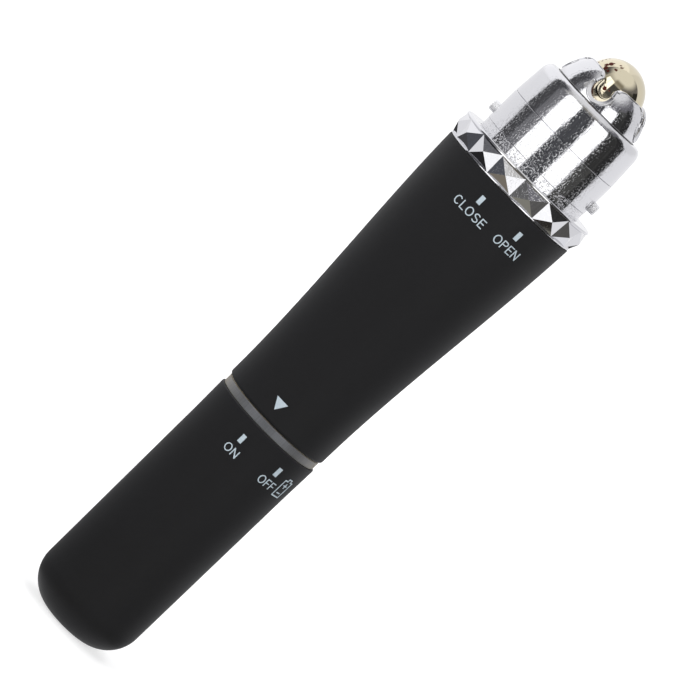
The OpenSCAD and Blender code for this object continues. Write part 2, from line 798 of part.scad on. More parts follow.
module eccentric_weight() {
    z1 = cover_z1 - cover_top_t - 0.8;
    z0 = z1 - weight_len;
    color("#9a9da0") difference() {
        union() {
            ring_slice(0, weight_r, z0, z1, 0, weight_arc);
            disc(armature_hub_r, z0, z1);
        }
        disc(shaft_r + shaft_press, z0 - cut, z1 + cut);
    }
}

// Facet ring: pyramids side by side, with deeper corners, under a rounded rim and over a thin one
function on_ring(r, angle, z) = [r * sin(angle), -r * cos(angle), z];

module facet_band() {
    n = facet_count;
    pitch = 360 / n;
    z0 = facet_z0 + facet_rim;
    z1 = facet_z1 - facet_rim;
    peak_r = (facet_r0 + facet_r1) / 2 + facet_peak;
    low = [for (k = [0:n - 1]) on_ring(facet_r0 - facet_valley, (k - 0.5) * pitch, z0)];
    high = [for (k = [0:n - 1]) on_ring(facet_r1 - facet_valley, (k - 0.5) * pitch, z1)];
    peaks = [for (k = [0:n - 1]) on_ring(peak_r, k * pitch, (z0 + z1) / 2)];
    foot = [for (k = [0:n - 1]) k];
    top = [for (k = [n - 1:-1:0]) n + k];
    pyramids = [for (k = [0:n - 1]) let (next = (k + 1) % n, peak = 2 * n + k) each
        [[k, peak, next], [next, peak, n + next], [n + next, peak, n + k], [n + k, peak, k]]];
    polyhedron(concat(low, high, peaks), concat([foot, top], pyramids));
}

module facet_ring() {
    color("#d9dbe2") difference() {
        union() {
            rotate([0, 0, -head_clocking]) facet_band();
            disc(facet_r0 - facet_valley / 2, facet_z0, facet_z0 + facet_rim + fit);
            rotate_extrude() polygon(concat(
                [[0, facet_z1 - facet_rim - fit], [facet_r1, facet_z1 - facet_rim - fit]],
                arc(facet_r1 - facet_round, facet_z1 - facet_rim, facet_round, 0, 60, 5),
                [[neck_r, facet_z1 + facet_rim], [0, facet_z1 + facet_rim]]));
        }
        disc(neck_r + fit, facet_z0 - cut, facet_z1 + 2 * cut);
        disc(lip_r + fit, facet_z0 - cut, facet_z0 + lip_h + fit);
    }
}

// Head base: the spigot with three lugs inside the grip, the neck, and a spigot for the collar
module head_base() {
    bore_r = min(spigot_r, neck_r) - spigot_wall;
    color("#d9dbe2") difference() {
        union() {
            disc(spigot_r, spigot_z0, facet_z0);
            for (a = lug_angles)
                ring_slice(bore_r, spigot_r + lug_reach, lug_z0, lug_z0 + lug_h, a, lug_arc);
            disc(lip_r, facet_z0, facet_z0 + lip_h);
            disc(neck_r, facet_z0, neck_z1);
            disc(base_spigot_r, neck_z1 - fit, neck_z1 + base_spigot_h);
        }
        disc(bore_r, spigot_z0 - cut, base_web_z0);
        disc(base_spigot_r - base_spigot_wall, base_web_z0 + base_web_t, neck_z1 + base_spigot_h + cut);
        tube(spigot_r + cut, spigot_r - 2 * head_oring_r,
             head_oring_z - head_oring_r - fit, head_oring_z + head_oring_r + fit);
    }
}

module head_oring() {
    color("#1c1c1e") translate([0, 0, head_oring_z]) rotate_extrude()
        translate([spigot_r + run / 2 - head_oring_r, 0]) circle(r = head_oring_r, $fn = 24);
}

// Bayonet collar: carries the two lug pins and screws into the shell
module bayonet_collar() {
    color("#d9dbe2") difference() {
        rotate_extrude() polygon([
            [0, collar_z0], [collar_r - shell_edge, collar_z0], [collar_r, collar_z0 + shell_edge],
            [collar_r, collar_z1 - shell_edge], [collar_r - shell_edge, collar_z1],
            [shell_bore_r - fit, collar_z1], [shell_bore_r - fit, collar_z1 + collar_spigot_h],
            [0, collar_z1 + collar_spigot_h]]);
        disc(base_spigot_r + fit, collar_z0 - cut, collar_web_z0);
        disc(shell_bore_r - collar_spigot_wall, collar_z0, collar_z1 + collar_spigot_h + cut);
        translate([0, 0, pin_z]) rotate([0, 90, 0])
            cylinder(r = pin_shank_r + 0.02, h = 4 * collar_r, center = true);
    }
}

// Lug pins: each has a thinner shank through the collar's wall and a plain round head outside it
module bayonet_pins() {
    inner_r = base_spigot_r + 0.2;
    shank = collar_r - inner_r;
    length = shank + pin_proud;
    color("#d9dbe2") for (side = [-1, 1])
        translate([side * inner_r, 0, pin_z]) rotate([0, side * 90, 0]) rotate_extrude($fn = 48)
            polygon([[0, 0], [pin_shank_r, 0], [pin_shank_r, shank], [pin_r, shank],
                     [pin_r, length - pin_tip], [pin_r - pin_tip, length], [0, length]]);
}

// Head shell: tapers a little to a tall soft shoulder, with a round opening for the cage
function shell_shoulder() =
    [for (p = arc(0, 0, 1, 0, 90, 12))
        [shell_r1 + shell_round * (p[0] - 1), shell_z1 + shell_round_h * (p[1] - 1)]];

module head_shell() {
    color("#d9dbe2") difference() {
        rotate_extrude() polygon(concat(
            [[0, shell_z0], [shell_r0 - shell_edge, shell_z0], [shell_r0, shell_z0 + shell_edge]],
            shell_shoulder(),
            [[0, shell_z1]]));
        disc(shell_bore_r, shell_z0 - cut, shell_roof_z);
        disc(dome_r + dome_groove, shell_z0, shell_z1 + cut);
    }
}

module seat_gasket() {
    color("#303033") tube(shell_bore_r - seat_play, shell_bore_r - seat_play - gasket_w,
                         gasket_z0, gasket_z0 + gasket_t);
}

// Ball seat: a low-friction cup that closes the cage from below
module ball_seat() {
    color("#f0efe8") difference() {
        union() {
            disc(shell_bore_r - seat_play, seat_z0, seat_z0 + seat_t);
            disc(cup_r - fit, seat_z0, seat_z1);
        }
        translate([0, 0, ball_z]) sphere(r = cup_r);
        disc(seat_drain_r, seat_z0 - cut, ball_z);
    }
}

// Outline of a notch: a U with a round foot, whose sides sweep out over the prongs' rounded corners
module notch_outline() {
    flare_x = notch_r + prong_round;
    flare_z = prong_z - prong_round;
    polygon(concat(
        arc(0, notch_z, notch_r, -180, 0, 20),
        arc(flare_x, flare_z, prong_round, 180, 90, 10),
        [[flare_x, prong_z + 3], [-flare_x, prong_z + 3]],
        arc(-flare_x, flare_z, prong_round, 90, 0, 10)));
}

// Ball cage: a dome with four rounded prongs that close over the ball's middle
module ball_cage() {
    rim_r = cup_r + notch_land;
    lead_in = 0.4;
    inner_w = notch_r - lead_in * notch_flare;
    outer_w = notch_r + (dome_r - rim_r) * notch_flare;
    color("#d9dbe2") difference() {
        union() {
            disc(shell_bore_r - seat_play, cage_z0, shell_roof_z - fit);
            disc(dome_r, cage_z0, dome_z);
            intersection() {
                translate([0, 0, dome_z]) sphere(r = dome_r);
                disc(dome_r + cut, dome_z - fit, prong_z);
            }
        }
        disc(cup_r, cage_z0 - cut, ball_z);
        translate([0, 0, ball_z]) sphere(r = cup_r);
        for (a = [0, 90, 180, 270]) rotate([0, 0, a - head_clocking]) {
            rotate([90, 0, 0]) linear_extrude(dome_r + cut) notch_outline();
            translate([0, lead_in - rim_r, notch_z]) rotate([90, 0, 0])
                cylinder(r1 = inner_w, r2 = outer_w, h = dome_r - rim_r + lead_in);
            translate([0, 0, notch_z]) linear_extrude(prong_z) polygon([
                [-inner_w, lead_in - rim_r], [inner_w, lead_in - rim_r],
                [outer_w, -dome_r], [-outer_w, -dome_r]]);
        }
    }
}

module massage_ball() {
    color("#b8ab94") translate([0, 0, ball_z]) sphere(r = ball_r);
}

battery_sleeve();
negative_spring();
contact_strip();
switch_ring();
sleeve_oring();
chassis();
retaining_clip();
battery_can();
battery_cap();
positive_contact();
switch_contact();
motor_boot();
motor_can();
motor_magnets();
motor_end_bell();
motor_terminals();
motor_bush();
motor_leads();
weight_cover();
cover_screws();
grip_body();
bayonet_socket();
motor_shaft();
armature();
eccentric_weight();
facet_ring();
head_base();
head_oring();
bayonet_collar();
bayonet_pins();
head_shell();
seat_gasket();
ball_seat();
ball_cage();
massage_ball();
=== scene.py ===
# %% [markdown]
# # A pen-shaped facial massager
#
# The real object is a small vibrating massager that is held like a thick pen. A black
# soft-touch sleeve holds one cell and turns between ON and OFF, the grip above it widens
# in a soft curve, and the chrome head ends in four prongs that hold a rolling steel ball.
#
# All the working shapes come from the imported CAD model. Blender adds the finishes, the
# rolled edge of the cage, the printed marks, the photographer's studio and the camera.
# Everything is in metres.

# %% Load the CAD model
import math

import bmesh
import bpy
from mathutils import Matrix, Vector, noise
from mathutils.bvhtree import BVHTree


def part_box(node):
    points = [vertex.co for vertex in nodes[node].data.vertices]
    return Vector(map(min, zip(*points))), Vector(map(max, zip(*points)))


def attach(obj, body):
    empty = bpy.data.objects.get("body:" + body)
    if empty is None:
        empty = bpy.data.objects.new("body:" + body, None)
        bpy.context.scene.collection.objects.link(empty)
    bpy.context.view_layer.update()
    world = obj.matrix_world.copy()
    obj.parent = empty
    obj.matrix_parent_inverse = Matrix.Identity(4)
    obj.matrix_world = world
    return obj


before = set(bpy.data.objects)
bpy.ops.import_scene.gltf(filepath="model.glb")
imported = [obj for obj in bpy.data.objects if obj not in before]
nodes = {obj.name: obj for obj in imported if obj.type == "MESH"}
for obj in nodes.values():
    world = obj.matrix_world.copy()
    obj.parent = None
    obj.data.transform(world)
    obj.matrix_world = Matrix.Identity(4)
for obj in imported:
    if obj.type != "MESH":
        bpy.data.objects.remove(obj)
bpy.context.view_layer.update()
scene = bpy.context.scene
MM = 0.001

# %% [markdown]
# ## The camera
#
# The photograph was taken with a long lens from a little above the middle of the
# massager, and the picture was then turned so that the handle runs from the lower left to
# the upper right. A long lens keeps the two sides of the handle nearly parallel.
#
# The camera is placed from three angles: where it stands round the handle, how far it
# looks down, and how far it is rolled about its own view. `out`, `right` and `up` are its
# axes, written out so that nothing depends on the size of the picture.

# %% The camera's axes
CAMERA_AZIMUTH = math.radians(7)        # to the right of the front, which is -Y
CAMERA_ELEVATION = math.radians(6.3)    # looking down on the tip end
CAMERA_ROLL = math.radians(45.9)

out = Vector((math.sin(CAMERA_AZIMUTH) * math.cos(CAMERA_ELEVATION),
              -math.cos(CAMERA_AZIMUTH) * math.cos(CAMERA_ELEVATION),
              math.sin(CAMERA_ELEVATION)))
level_right = Vector((math.cos(CAMERA_AZIMUTH), math.sin(CAMERA_AZIMUTH), 0))
level_up = out.cross(level_right)
right = math.cos(CAMERA_ROLL) * level_right + math.sin(CAMERA_ROLL) * level_up
up = out.cross(right)
print("from the massager to the camera:", [round(c, 3) for c in out])

# %% Place the camera
CAMERA_DISTANCE = 0.88
CAMERA_AIM = Vector((0, 0, 70.1 * MM))
CAMERA_SIDE_STEP = 0.56 * MM            # the handle lies a little left of the middle
SENSOR_MM, LENS_MM = 36, 257.6
NEAR_CLIP, FAR_CLIP = 0.01, 200         # metres

lens_data = bpy.data.cameras.new("studio_camera")
lens_data.sensor_width = SENSOR_MM
lens_data.lens = LENS_MM
lens_data.clip_start = NEAR_CLIP
lens_data.clip_end = FAR_CLIP
camera = bpy.data.objects.new("studio_camera", lens_data)
scene.collection.objects.link(camera)
place = CAMERA_AIM + CAMERA_SIDE_STEP * level_right + CAMERA_DISTANCE * out
camera.matrix_world = Matrix.Translation(place) @ Matrix((right, up, out)).transposed().to_4x4()
scene.camera = camera
print("camera at", [round(c, 3) for c in place])

# %% [markdown]
# ## A few small helpers for every material
#
# Colours are written as the hex values that a screen shows, and Blender's shaders work in
# linear light, so one function turns one into the other. A second function adds a shader
# node with its settings and its links in one line, which keeps each recipe readable. The
# last two start an empty material and find the shader of a finished one.

# %% Colour and node helpers
def linear(hex_colour):
    """A screen colour such as '#27282A' as linear RGB with alpha."""
    parts = [int(hex_colour[i:i + 2], 16) / 255 for i in (1, 3, 5)]
    return [p / 12.92 if p <= 0.04045 else ((p + 0.055) / 1.055) ** 2.4 for p in parts] + [1]


def add_node(tree, kind, settings=None, **inputs):
    """Adds a shader node. An input is named, or given by its place as _0, _1 and so on. It is
    a plain value, or a socket to link from."""
    node = tree.nodes.new("ShaderNode" + kind)
    for key, value in (settings or {}).items():
        setattr(node, key, value)
    for key, value in inputs.items():
        found = [s for s in node.inputs if s.name.replace(" ", "_") == key and s.enabled]
        socket = found[0] if found else node.inputs[int(key.strip("_"))]
        if isinstance(value, bpy.types.NodeSocket):
            tree.links.new(value, socket)
        else:
            socket.default_value = value
    return node


def new_material(name):
    """An empty node material, its node tree and its output node."""
    material = bpy.data.materials.new(name)
    material.use_nodes = True
    material.node_tree.nodes.clear()
    return material, material.node_tree, add_node(material.node_tree, "OutputMaterial")


def shader_of(material):
    """The Principled shader of a finished material."""
    return next(n for n in material.node_tree.nodes if n.type == "BSDF_PRINCIPLED")


print("soft black in linear light:", [round(c, 4) for c in linear("#27282A")])

# %% [markdown]
# ## The white studio
#
# The photograph shows the massager on clean white. The floor here is a pale sheet that
# takes light and shadow like real card. For the camera, and for mirrors, it is lifted to
# white with a little glow, so the picture gets its white from the sheet's own shader and
# no lamp has to be turned up for it. The world beyond it does the same.

# %% The paper of the floor
FIBRE_CELLS = 900                       # noise cells per metre: fibres of about a millimetre
LIFT_NEAR, LIFT_FAR = 0.1, 0.7          # metres from the middle, between which the glow grows
LIFT_LOW, LIFT_HIGH = 0.66, 0.96        # its strength there

paper, tree, output = new_material("matt_white_studio_paper")
place_on_paper = add_node(tree, "TexCoord").outputs["Object"]
fibres = add_node(tree, "TexNoise", Vector=place_on_paper, Scale=FIBRE_CELLS, Detail=3)
paper_tone = add_node(tree, "MixRGB", Fac=fibres.outputs["Fac"],
                      Color1=linear("#B4B4B4"), Color2=linear("#BEBEBE"))
lit = add_node(tree, "BsdfDiffuse", Color=paper_tone.outputs[0])
from_middle = add_node(tree, "VectorMath", {"operation": "LENGTH"}, _0=place_on_paper)
lift_strength = add_node(tree, "MapRange", Value=from_middle.outputs["Value"],
                         From_Min=LIFT_NEAR, From_Max=LIFT_FAR,
                         To_Min=LIFT_LOW, To_Max=LIFT_HIGH)
lift = add_node(tree, "Emission", Color=[1, 1, 1, 1], Strength=lift_strength.outputs[0])
both = add_node(tree, "AddShader", _0=lit.outputs[0], _1=lift.outputs[0])
path = add_node(tree, "LightPath")
seen = add_node(tree, "Math", {"operation": "MAXIMUM"},
                _0=path.outputs["Is Camera Ray"], _1=path.outputs["Is Transmission Ray"])
mirrored = add_node(tree, "Emission", Color=linear("#FBFBFD"), Strength=1)
for_camera = add_node(tree, "MixShader",
                      _0=seen.outputs[0], _1=lit.outputs[0], _2=both.outputs[0])
for_mirror = add_node(tree, "MixShader", _0=path.outputs["Is Glossy Ray"],
                      _1=for_camera.outputs[0], _2=mirrored.outputs[0])
tree.links.new(for_mirror.outputs[0], output.inputs["Surface"])
print("paper with", len(tree.nodes), "shader nodes")

# %% Floor
FLOOR_HALF = 30.0                       # metres, far past the lens's horizon

floor_mesh = bpy.data.meshes.new("studio_floor")
corners = [(-FLOOR_HALF, -FLOOR_HALF, 0), (FLOOR_HALF, -FLOOR_HALF, 0),
           (FLOOR_HALF, FLOOR_HALF, 0), (-FLOOR_HALF, FLOOR_HALF, 0)]
floor_mesh.from_pydata(corners, [], [(0, 1, 2, 3)])
floor_mesh.materials.append(paper)
floor = bpy.data.objects.new("studio_floor", floor_mesh)
scene.collection.objects.link(floor)
print("floor of", 2 * FLOOR_HALF, "m")

# %% World
ROOM_FILL = 0.5                         # strength of the plain light from all round

world = bpy.data.worlds.new("studio_room")
scene.world = world
world.use_nodes = True
tree = world.node_tree
tree.nodes.clear()
path = add_node(tree, "LightPath")
direct = add_node(tree, "Math", {"operation": "MAXIMUM"},
                  _0=path.outputs["Is Camera Ray"], _1=path.outputs["Is Glossy Ray"])
direct = add_node(tree, "Math", {"operation": "MAXIMUM"},
                  _0=direct.outputs[0], _1=path.outputs["Is Transmission Ray"])
room_light = add_node(tree, "Background", Color=linear("#F4F5F8"), Strength=ROOM_FILL)
room_seen = add_node(tree, "Background", Color=[1, 1, 1, 1], Strength=1)
room = add_node(tree, "MixShader",
                _0=direct.outputs[0], _1=room_light.outputs[0], _2=room_seen.outputs[0])
add_node(tree, "OutputWorld", Surface=room.outputs[0])
scene.view_settings.view_transform = "Standard"
print("view transform:", scene.view_settings.view_transform)

# %% [markdown]
# ## Lamps and reflectors
#
# Chrome has hardly any colour of its own: it shows what stands round it. The bands on the
# real head are two tall white softboxes left and right of a dark camera, dark room beyond
# them, a grey ceiling, and the white paper behind the massager. Two low black flags on
# that paper are added for other views, so that the chrome has dark bands from behind too.
#
# All that could be built as separate cards. Here it is one dome of cloth round the head,
# painted point by point, because painted edges can be as soft as the real ones are. Only
# mirrors see the dome. The light on the matt parts comes from area lamps in the same
# places, at a plain level, so that each finish keeps the colour it is given.

# %% Directions round the head
def direction(azimuth, elevation):
    """Unit vector, with the azimuth in degrees to the right of the camera's side."""
    a, e = math.radians(azimuth) + CAMERA_AZIMUTH, math.radians(elevation)
    return Vector((math.sin(a) * math.cos(e), -math.cos(a) * math.cos(e), math.sin(e)))


def degrees_between(ray, other):
    """The angle between two unit vectors."""
    return math.degrees(math.acos(max(-1, min(1, ray.dot(other)))))


def soft_step(value, edge, blur):
    """0 below an edge and 1 above it, smooth over a width of blur."""
    u = min(max((value - edge) / blur + 0.5, 0), 1)
    return u * u * (3 - 2 * u)


def between(value, low, high, blur):
    """1 between two edges and 0 outside them."""
    return soft_step(value, low, blur) * (1 - soft_step(value, high, blur))


def blend(tone, colour, share, strength=1):
    """A light tone with a share of a screen colour painted over it, at a strength."""
    return [t + (strength * c - t) * share for t, c in zip(tone, linear(colour))]


print("the camera stands", round(degrees_between(direction(0, 0), out), 1), "degrees up")

# %% What the dome shows: cloths, softboxes and cards, each painted over the ones before
# azimuths and elevations in degrees, width of the soft edge, colour, strength
ROOM_CLOTHS = (
    ((-180, 180), (-90, 90), 1, "#76757A", 1),       # dim room
    ((51, 80), (-90, 40), 5, "#636260", 1),          # wall right, lit from below
    ((51, 80), (-8, 40), 3, "#555553", 1),           # wall right, higher up
    ((51, 80), (3, 31), 6, "#3A3A39", 1),            # its darkest part
    ((-80, -49), (-90, 36), 5, "#595B61", 1),        # wall left, low and bluish
    ((-70, -49), (-6.9, 30), 2.5, "#808083", 1),     # wall left, in the lamp's spill
    ((76, 130), (-90, 42), 7, "#5C5B58", 1),         # flag right, low
    ((76, 130), (-7, 44), 2.5, "#313131", 1),        # flag right, black above
    ((-130, -70), (-90, 42), 6, "#505052", 1),       # dark flag left
    ((-62, 14), (28, 60), 6, "#B9B8B6", 1),          # paler wall over the camera
    ((-17, 17), (-90, 30), 4, "#505154", 1),         # camera and its stand
    ((-16, 16), (-90, -12.5), 3, "#737373", 1),      # foot of the stand, lit by the paper
    ((-49, -17), (-90, 35.5), 3, "#FFFFFF", 1.9),    # softbox left
    ((-36, -33), (-90, 34), 3, "#FFFFFF", 1.25),     # the fold in its cloth
    ((17, 49), (-90, 32), 3, "#FFFFFF", 1.9),        # softbox right
    ((-49, -17), (-90, -12.5), 3, "#FFFFFF", 1.3),   # the left one's weaker foot
    ((17, 49), (-90, -12.5), 3, "#FFFFFF", 1.35),    # and the right one's
)
CLUTTER = 0.55                          # how uneven the dark cloths are
CLUTTER_CELLS = 34                      # noise cells per radian of the dome
CLUTTER_EDGE, CLUTTER_BLUR = 0.5, 0.3   # cloths brighter than this are even
# a panel of the ceiling: direction of its middle, radius, width of its edge, colour, strength
CEILING = (-16, 76, 35, 20, "#F0F0F0", 1.05)
# the boom that holds it, over the camera: azimuths, elevations, width of its edge, colour
BOOM = ((-20, 22), (34, 49), 14, "#928E85")
print("cloths:", len(ROOM_CLOTHS))

# %% The paper behind, as the dome shows it
PAPER_BEHIND = "#FBFBFD"
PAPER_EDGE = 94                         # degrees from the camera's direction to the paper
PAPER_TILT = 1.5                        # degrees more on the right, and fewer on the left
PAPER_BLUR = 2.5
# where it is lit unevenly: azimuths, gain, lowest elevation, width of that edge
PAPER_GLOWS = (((-165, -80), 0.2, 4, 8), ((80, 165), -0.12, 12, 10))
GLOW_BLUR = 10
# low black flags on it: azimuths, width of their sides, top, width of its edge, colour
BACK_FLAGS = (((-171, -148), (150, 170)), 3, -10.5, 2, "#3C3C3D")
print("paper from", PAPER_EDGE, "degrees on, with", len(BACK_FLAGS[0]), "flags")

# %% The light from a direction
def room_tone(azimuth, elevation):
    """The light that a mirror gets from a direction."""
    ray = direction(azimuth, elevation)
    tone = [0.0, 0.0, 0.0]
    for (a0, a1), (e0, e1), blur, colour, strength in ROOM_CLOTHS:
        # the dim room goes all round, so its soft edges are moved past the dome's seam
        a0 -= blur if a0 == -180 else 0
        a1 += blur if a1 == 180 else 0
        e1 += blur if e1 == 90 else 0
        share = between(azimuth, a0, a1, blur) * between(elevation, e0 - blur, e1, blur)
        tone = blend(tone, colour, share, strength)
    dark = 1 - soft_step(max(tone), CLUTTER_EDGE, CLUTTER_BLUR)
    uneven = 1 + CLUTTER * noise.noise(ray * CLUTTER_CELLS) * dark
    tone = [t * uneven for t in tone]
    middle_a, middle_e, radius, blur, colour, strength = CEILING
    off = degrees_between(ray, direction(middle_a, middle_e))
    tone = blend(tone, colour, 1 - soft_step(off, radius, blur), strength)
    (a0, a1), (e0, e1), blur, colour = BOOM
    tone = blend(tone, colour, between(azimuth, a0, a1, blur) * between(elevation, e0, e1, blur))
    edge = PAPER_EDGE + PAPER_TILT * math.sin(math.radians(azimuth))
    glow = 1
    for (a0, a1), gain, low, blur in PAPER_GLOWS:
        glow += gain * between(azimuth, a0, a1, GLOW_BLUR) * soft_step(elevation, low, blur)
    lean = degrees_between(ray, out)
    tone = blend(tone, PAPER_BEHIND, soft_step(lean, edge, PAPER_BLUR), glow)
    flags, side_blur, top, blur, colour = BACK_FLAGS
    share = sum(between(azimuth, a0, a1, side_blur) for a0, a1 in flags)
    return blend(tone, colour, share * (1 - soft_step(elevation, top, blur)))


print("left softbox:", [round(t, 2) for t in room_tone(-25, 10)],
      "camera:", [round(t, 2) for t in room_tone(0, 10)])

# %% Painted cloths
def painted_cloth(name, points, faces, tones):
    """A glowing stage piece with a colour at each point, which only mirrors see."""
    mesh = bpy.data.meshes.new(name)
    mesh.from_pydata([tuple(p) for p in points], [], faces)
    paint = mesh.color_attributes.new("tone", "FLOAT_COLOR", "POINT")
    for point, tone in zip(paint.data, tones):
        point.color = (*tone, 1)
    material, tree, output = new_material(name)
    read = add_node(tree, "Attribute", {"attribute_name": "tone"})
    shine = add_node(tree, "Emission", Color=read.outputs["Color"], Strength=1)
    tree.links.new(shine.outputs[0], output.inputs["Surface"])
    mesh.materials.append(material)
    piece = bpy.data.objects.new(name, mesh)
    scene.collection.objects.link(piece)
    piece.visible_camera = piece.visible_diffuse = piece.visible_shadow = False
    piece.visible_transmission = False


def grid_faces(columns, rows):
    """Quads of a grid of points that is written row by row."""
    return [(j * columns + i, j * columns + i + 1, (j + 1) * columns + i + 1, (j + 1) * columns + i)
            for j in range(rows - 1) for i in range(columns - 1)]


print("3 by 3 points make", len(grid_faces(3, 3)), "faces")

# %% The dome
DOME_CENTRE = Vector((0, 0, 126 * MM))
DOME_RADIUS = 0.25
STEP = 1.5                              # degrees between its points
LOWEST = -30                            # the dome's lower edge is at the floor

azimuths = [-180 + STEP * i for i in range(int(360 / STEP) + 1)]
elevations = [LOWEST + STEP * j for j in range(int((90 - LOWEST) / STEP) + 1)]
places = [(a, e) for e in elevations for a in azimuths]
painted_cloth("mirror_dome", [DOME_CENTRE + DOME_RADIUS * direction(a, e) for a, e in places],
              grid_faces(len(azimuths), len(elevations)), [room_tone(a, e) for a, e in places])
print("dome of", len(places), "points")

# %% A low card in front, which the undersides of the facets mirror
CARD_LEVEL = 1.5 * MM
CARD_RADII = (0.012, 0.06, 0.12, 0.24)
CARD_BLUR = 4
# the azimuth where each stretch starts, and its colour
CARD_CLOTHS = ((-180, "#F7F8FC"), (-150, "#4C4C4E"), (-98, "#2A2A2B"), (-45, "#857E72"),
               (14, "#8E8C82"), (62, "#33302D"), (98, "#F7F8FC"))


def card_tone(azimuth):
    """Colour of the low card at an azimuth."""
    tone = linear(CARD_CLOTHS[0][1])[:3]
    for start, colour in CARD_CLOTHS[1:]:
        tone = blend(tone, colour, soft_step(azimuth, start, CARD_BLUR))
    return tone


places = [(a, r) for r in CARD_RADII for a in azimuths]
painted_cloth("low_card", [Vector((0, 0, CARD_LEVEL)) + r * direction(a, 0) for a, r in places],
              grid_faces(len(azimuths), len(CARD_RADII)), [card_tone(a) for a, r in places])
print("card of", len(places), "points")

# %% Area lamps for the matt parts
HANDLE_MIDDLE = Vector((0, 0, 70 * MM))
# name, azimuth and elevation in degrees, distance and size in metres, power in watts
LAMPS = (
    ("lamp_left", -38, 22, 0.9, 0.45, 3.2),
    ("lamp_right", 40, 22, 0.9, 0.45, 2.6),
    ("lamp_rim", -104, 12, 0.9, 0.45, 3.4),
    ("lamp_back", 178, 40, 1.0, 0.5, 2.2),
    ("lamp_top", 0, 85, 1.0, 0.5, 2.4),
)
for name, azimuth, elevation, distance, size, power in LAMPS:
    data = bpy.data.lights.new(name, "AREA")
    data.shape = "SQUARE"
    data.size = size
    data.energy = power
    lamp = bpy.data.objects.new(name, data)
    scene.collection.objects.link(lamp)
    ray = direction(azimuth, elevation)
    lamp.location = HANDLE_MIDDLE + distance * ray
    lamp.rotation_euler = ray.to_track_quat("Z", "Y").to_euler()
    lamp.visible_camera = False
    lamp.visible_glossy = False

# %% [markdown]
# ## Soft-touch black
#
# The sleeve and grip are moulded ABS with a thin rubbery lacquer. The lacquer scatters
# light so widely that the handle has no clear highlight, only a soft lightening where the
# surface turns away. Its grain is about 0.05 mm, too fine to show here, so it is drawn
# several times coarser. A few slow clouds in the roughness stand for handling.

# %% Soft-touch lacquer
GRAIN_MM = 0.28                         # drawn size of the grain
CLOUD_MM = 14

soft_touch, tree, output = new_material("soft_touch_lacquer_on_moulded_ABS")
where = add_node(tree, "TexCoord").outputs["Object"]
grain = add_node(tree, "TexNoise", Vector=where, Scale=1 / (GRAIN_MM * MM), Detail=4,
                 Roughness=0.6)
clouds = add_node(tree, "TexNoise", Vector=where, Scale=1 / (CLOUD_MM * MM), Detail=2)
tone = add_node(tree, "MixRGB", Fac=clouds.outputs["Fac"],
                Color1=linear("#171718"), Color2=linear("#1C1C1E"))
rough = add_node(tree, "MapRange", Value=clouds.outputs["Fac"], From_Min=0.3, From_Max=0.7,
                 To_Min=0.62, To_Max=0.7)
bumps = add_node(tree, "Bump", Height=grain.outputs["Fac"], Strength=0.12, Distance=0.05 * MM)
surface = add_node(tree, "BsdfPrincipled", Base_Color=tone.outputs[0], Roughness=rough.outputs[0],
                   Normal=bumps.outputs[0], IOR=1.5, Specular_IOR_Level=0.22,
                   Sheen_Weight=0.08, Sheen_Roughness=0.4)
tree.links.new(surface.outputs[0], output.inputs["Surface"])


def finish_nodes(material, *names):
    """Gives a material to CAD nodes."""
    for name in names:
        nodes[name].data.materials.clear()
        nodes[name].data.materials.append(material)


finish_nodes(soft_touch, "battery_sleeve", "grip_body")
print("soft-touch on battery_sleeve and grip_body")

# %% [markdown]
# ## Bright chrome
#
# The head's parts are moulded ABS that was plated with copper, nickel and a thin bright
# chrome. The mirror is clean but not perfect. The plating follows slow waves of the
# moulding, and it has a fine grain that makes the edges of the white bands sparkle. The
# neck was plated worst, so there the grain throws light from the softboxes into the dark
# bands.
#
# All of it is bump: upright polishing lines well under a millimetre apart, which run with
# the parts' axis, and nodules in the plating. A nodule is a peak of a noise that is cut off
# flat, so that each one has a steep side and the surface between them stays a mirror. They
# are drawn at a third of a millimetre because the real ones are finer than a pixel. Their
# height is what differs between the plated finishes.
#
# The lug pins have lost their shine to the attachments that slide over them. The corner at
# the foot of the cage gets a dark line of painted shade, for the shadow in the crevice there.

# %% Chrome plating
CHROME_TINT = linear("#DBDBDE")
LINE_MM, NODULE_MM = 0.7, 0.34
LINE_STRETCH = 0.12                     # the lines are about eight times as long as wide
FADE_FROM, FADE_TO = 115 * MM, 124 * MM     # going up, the nodules get lower between these


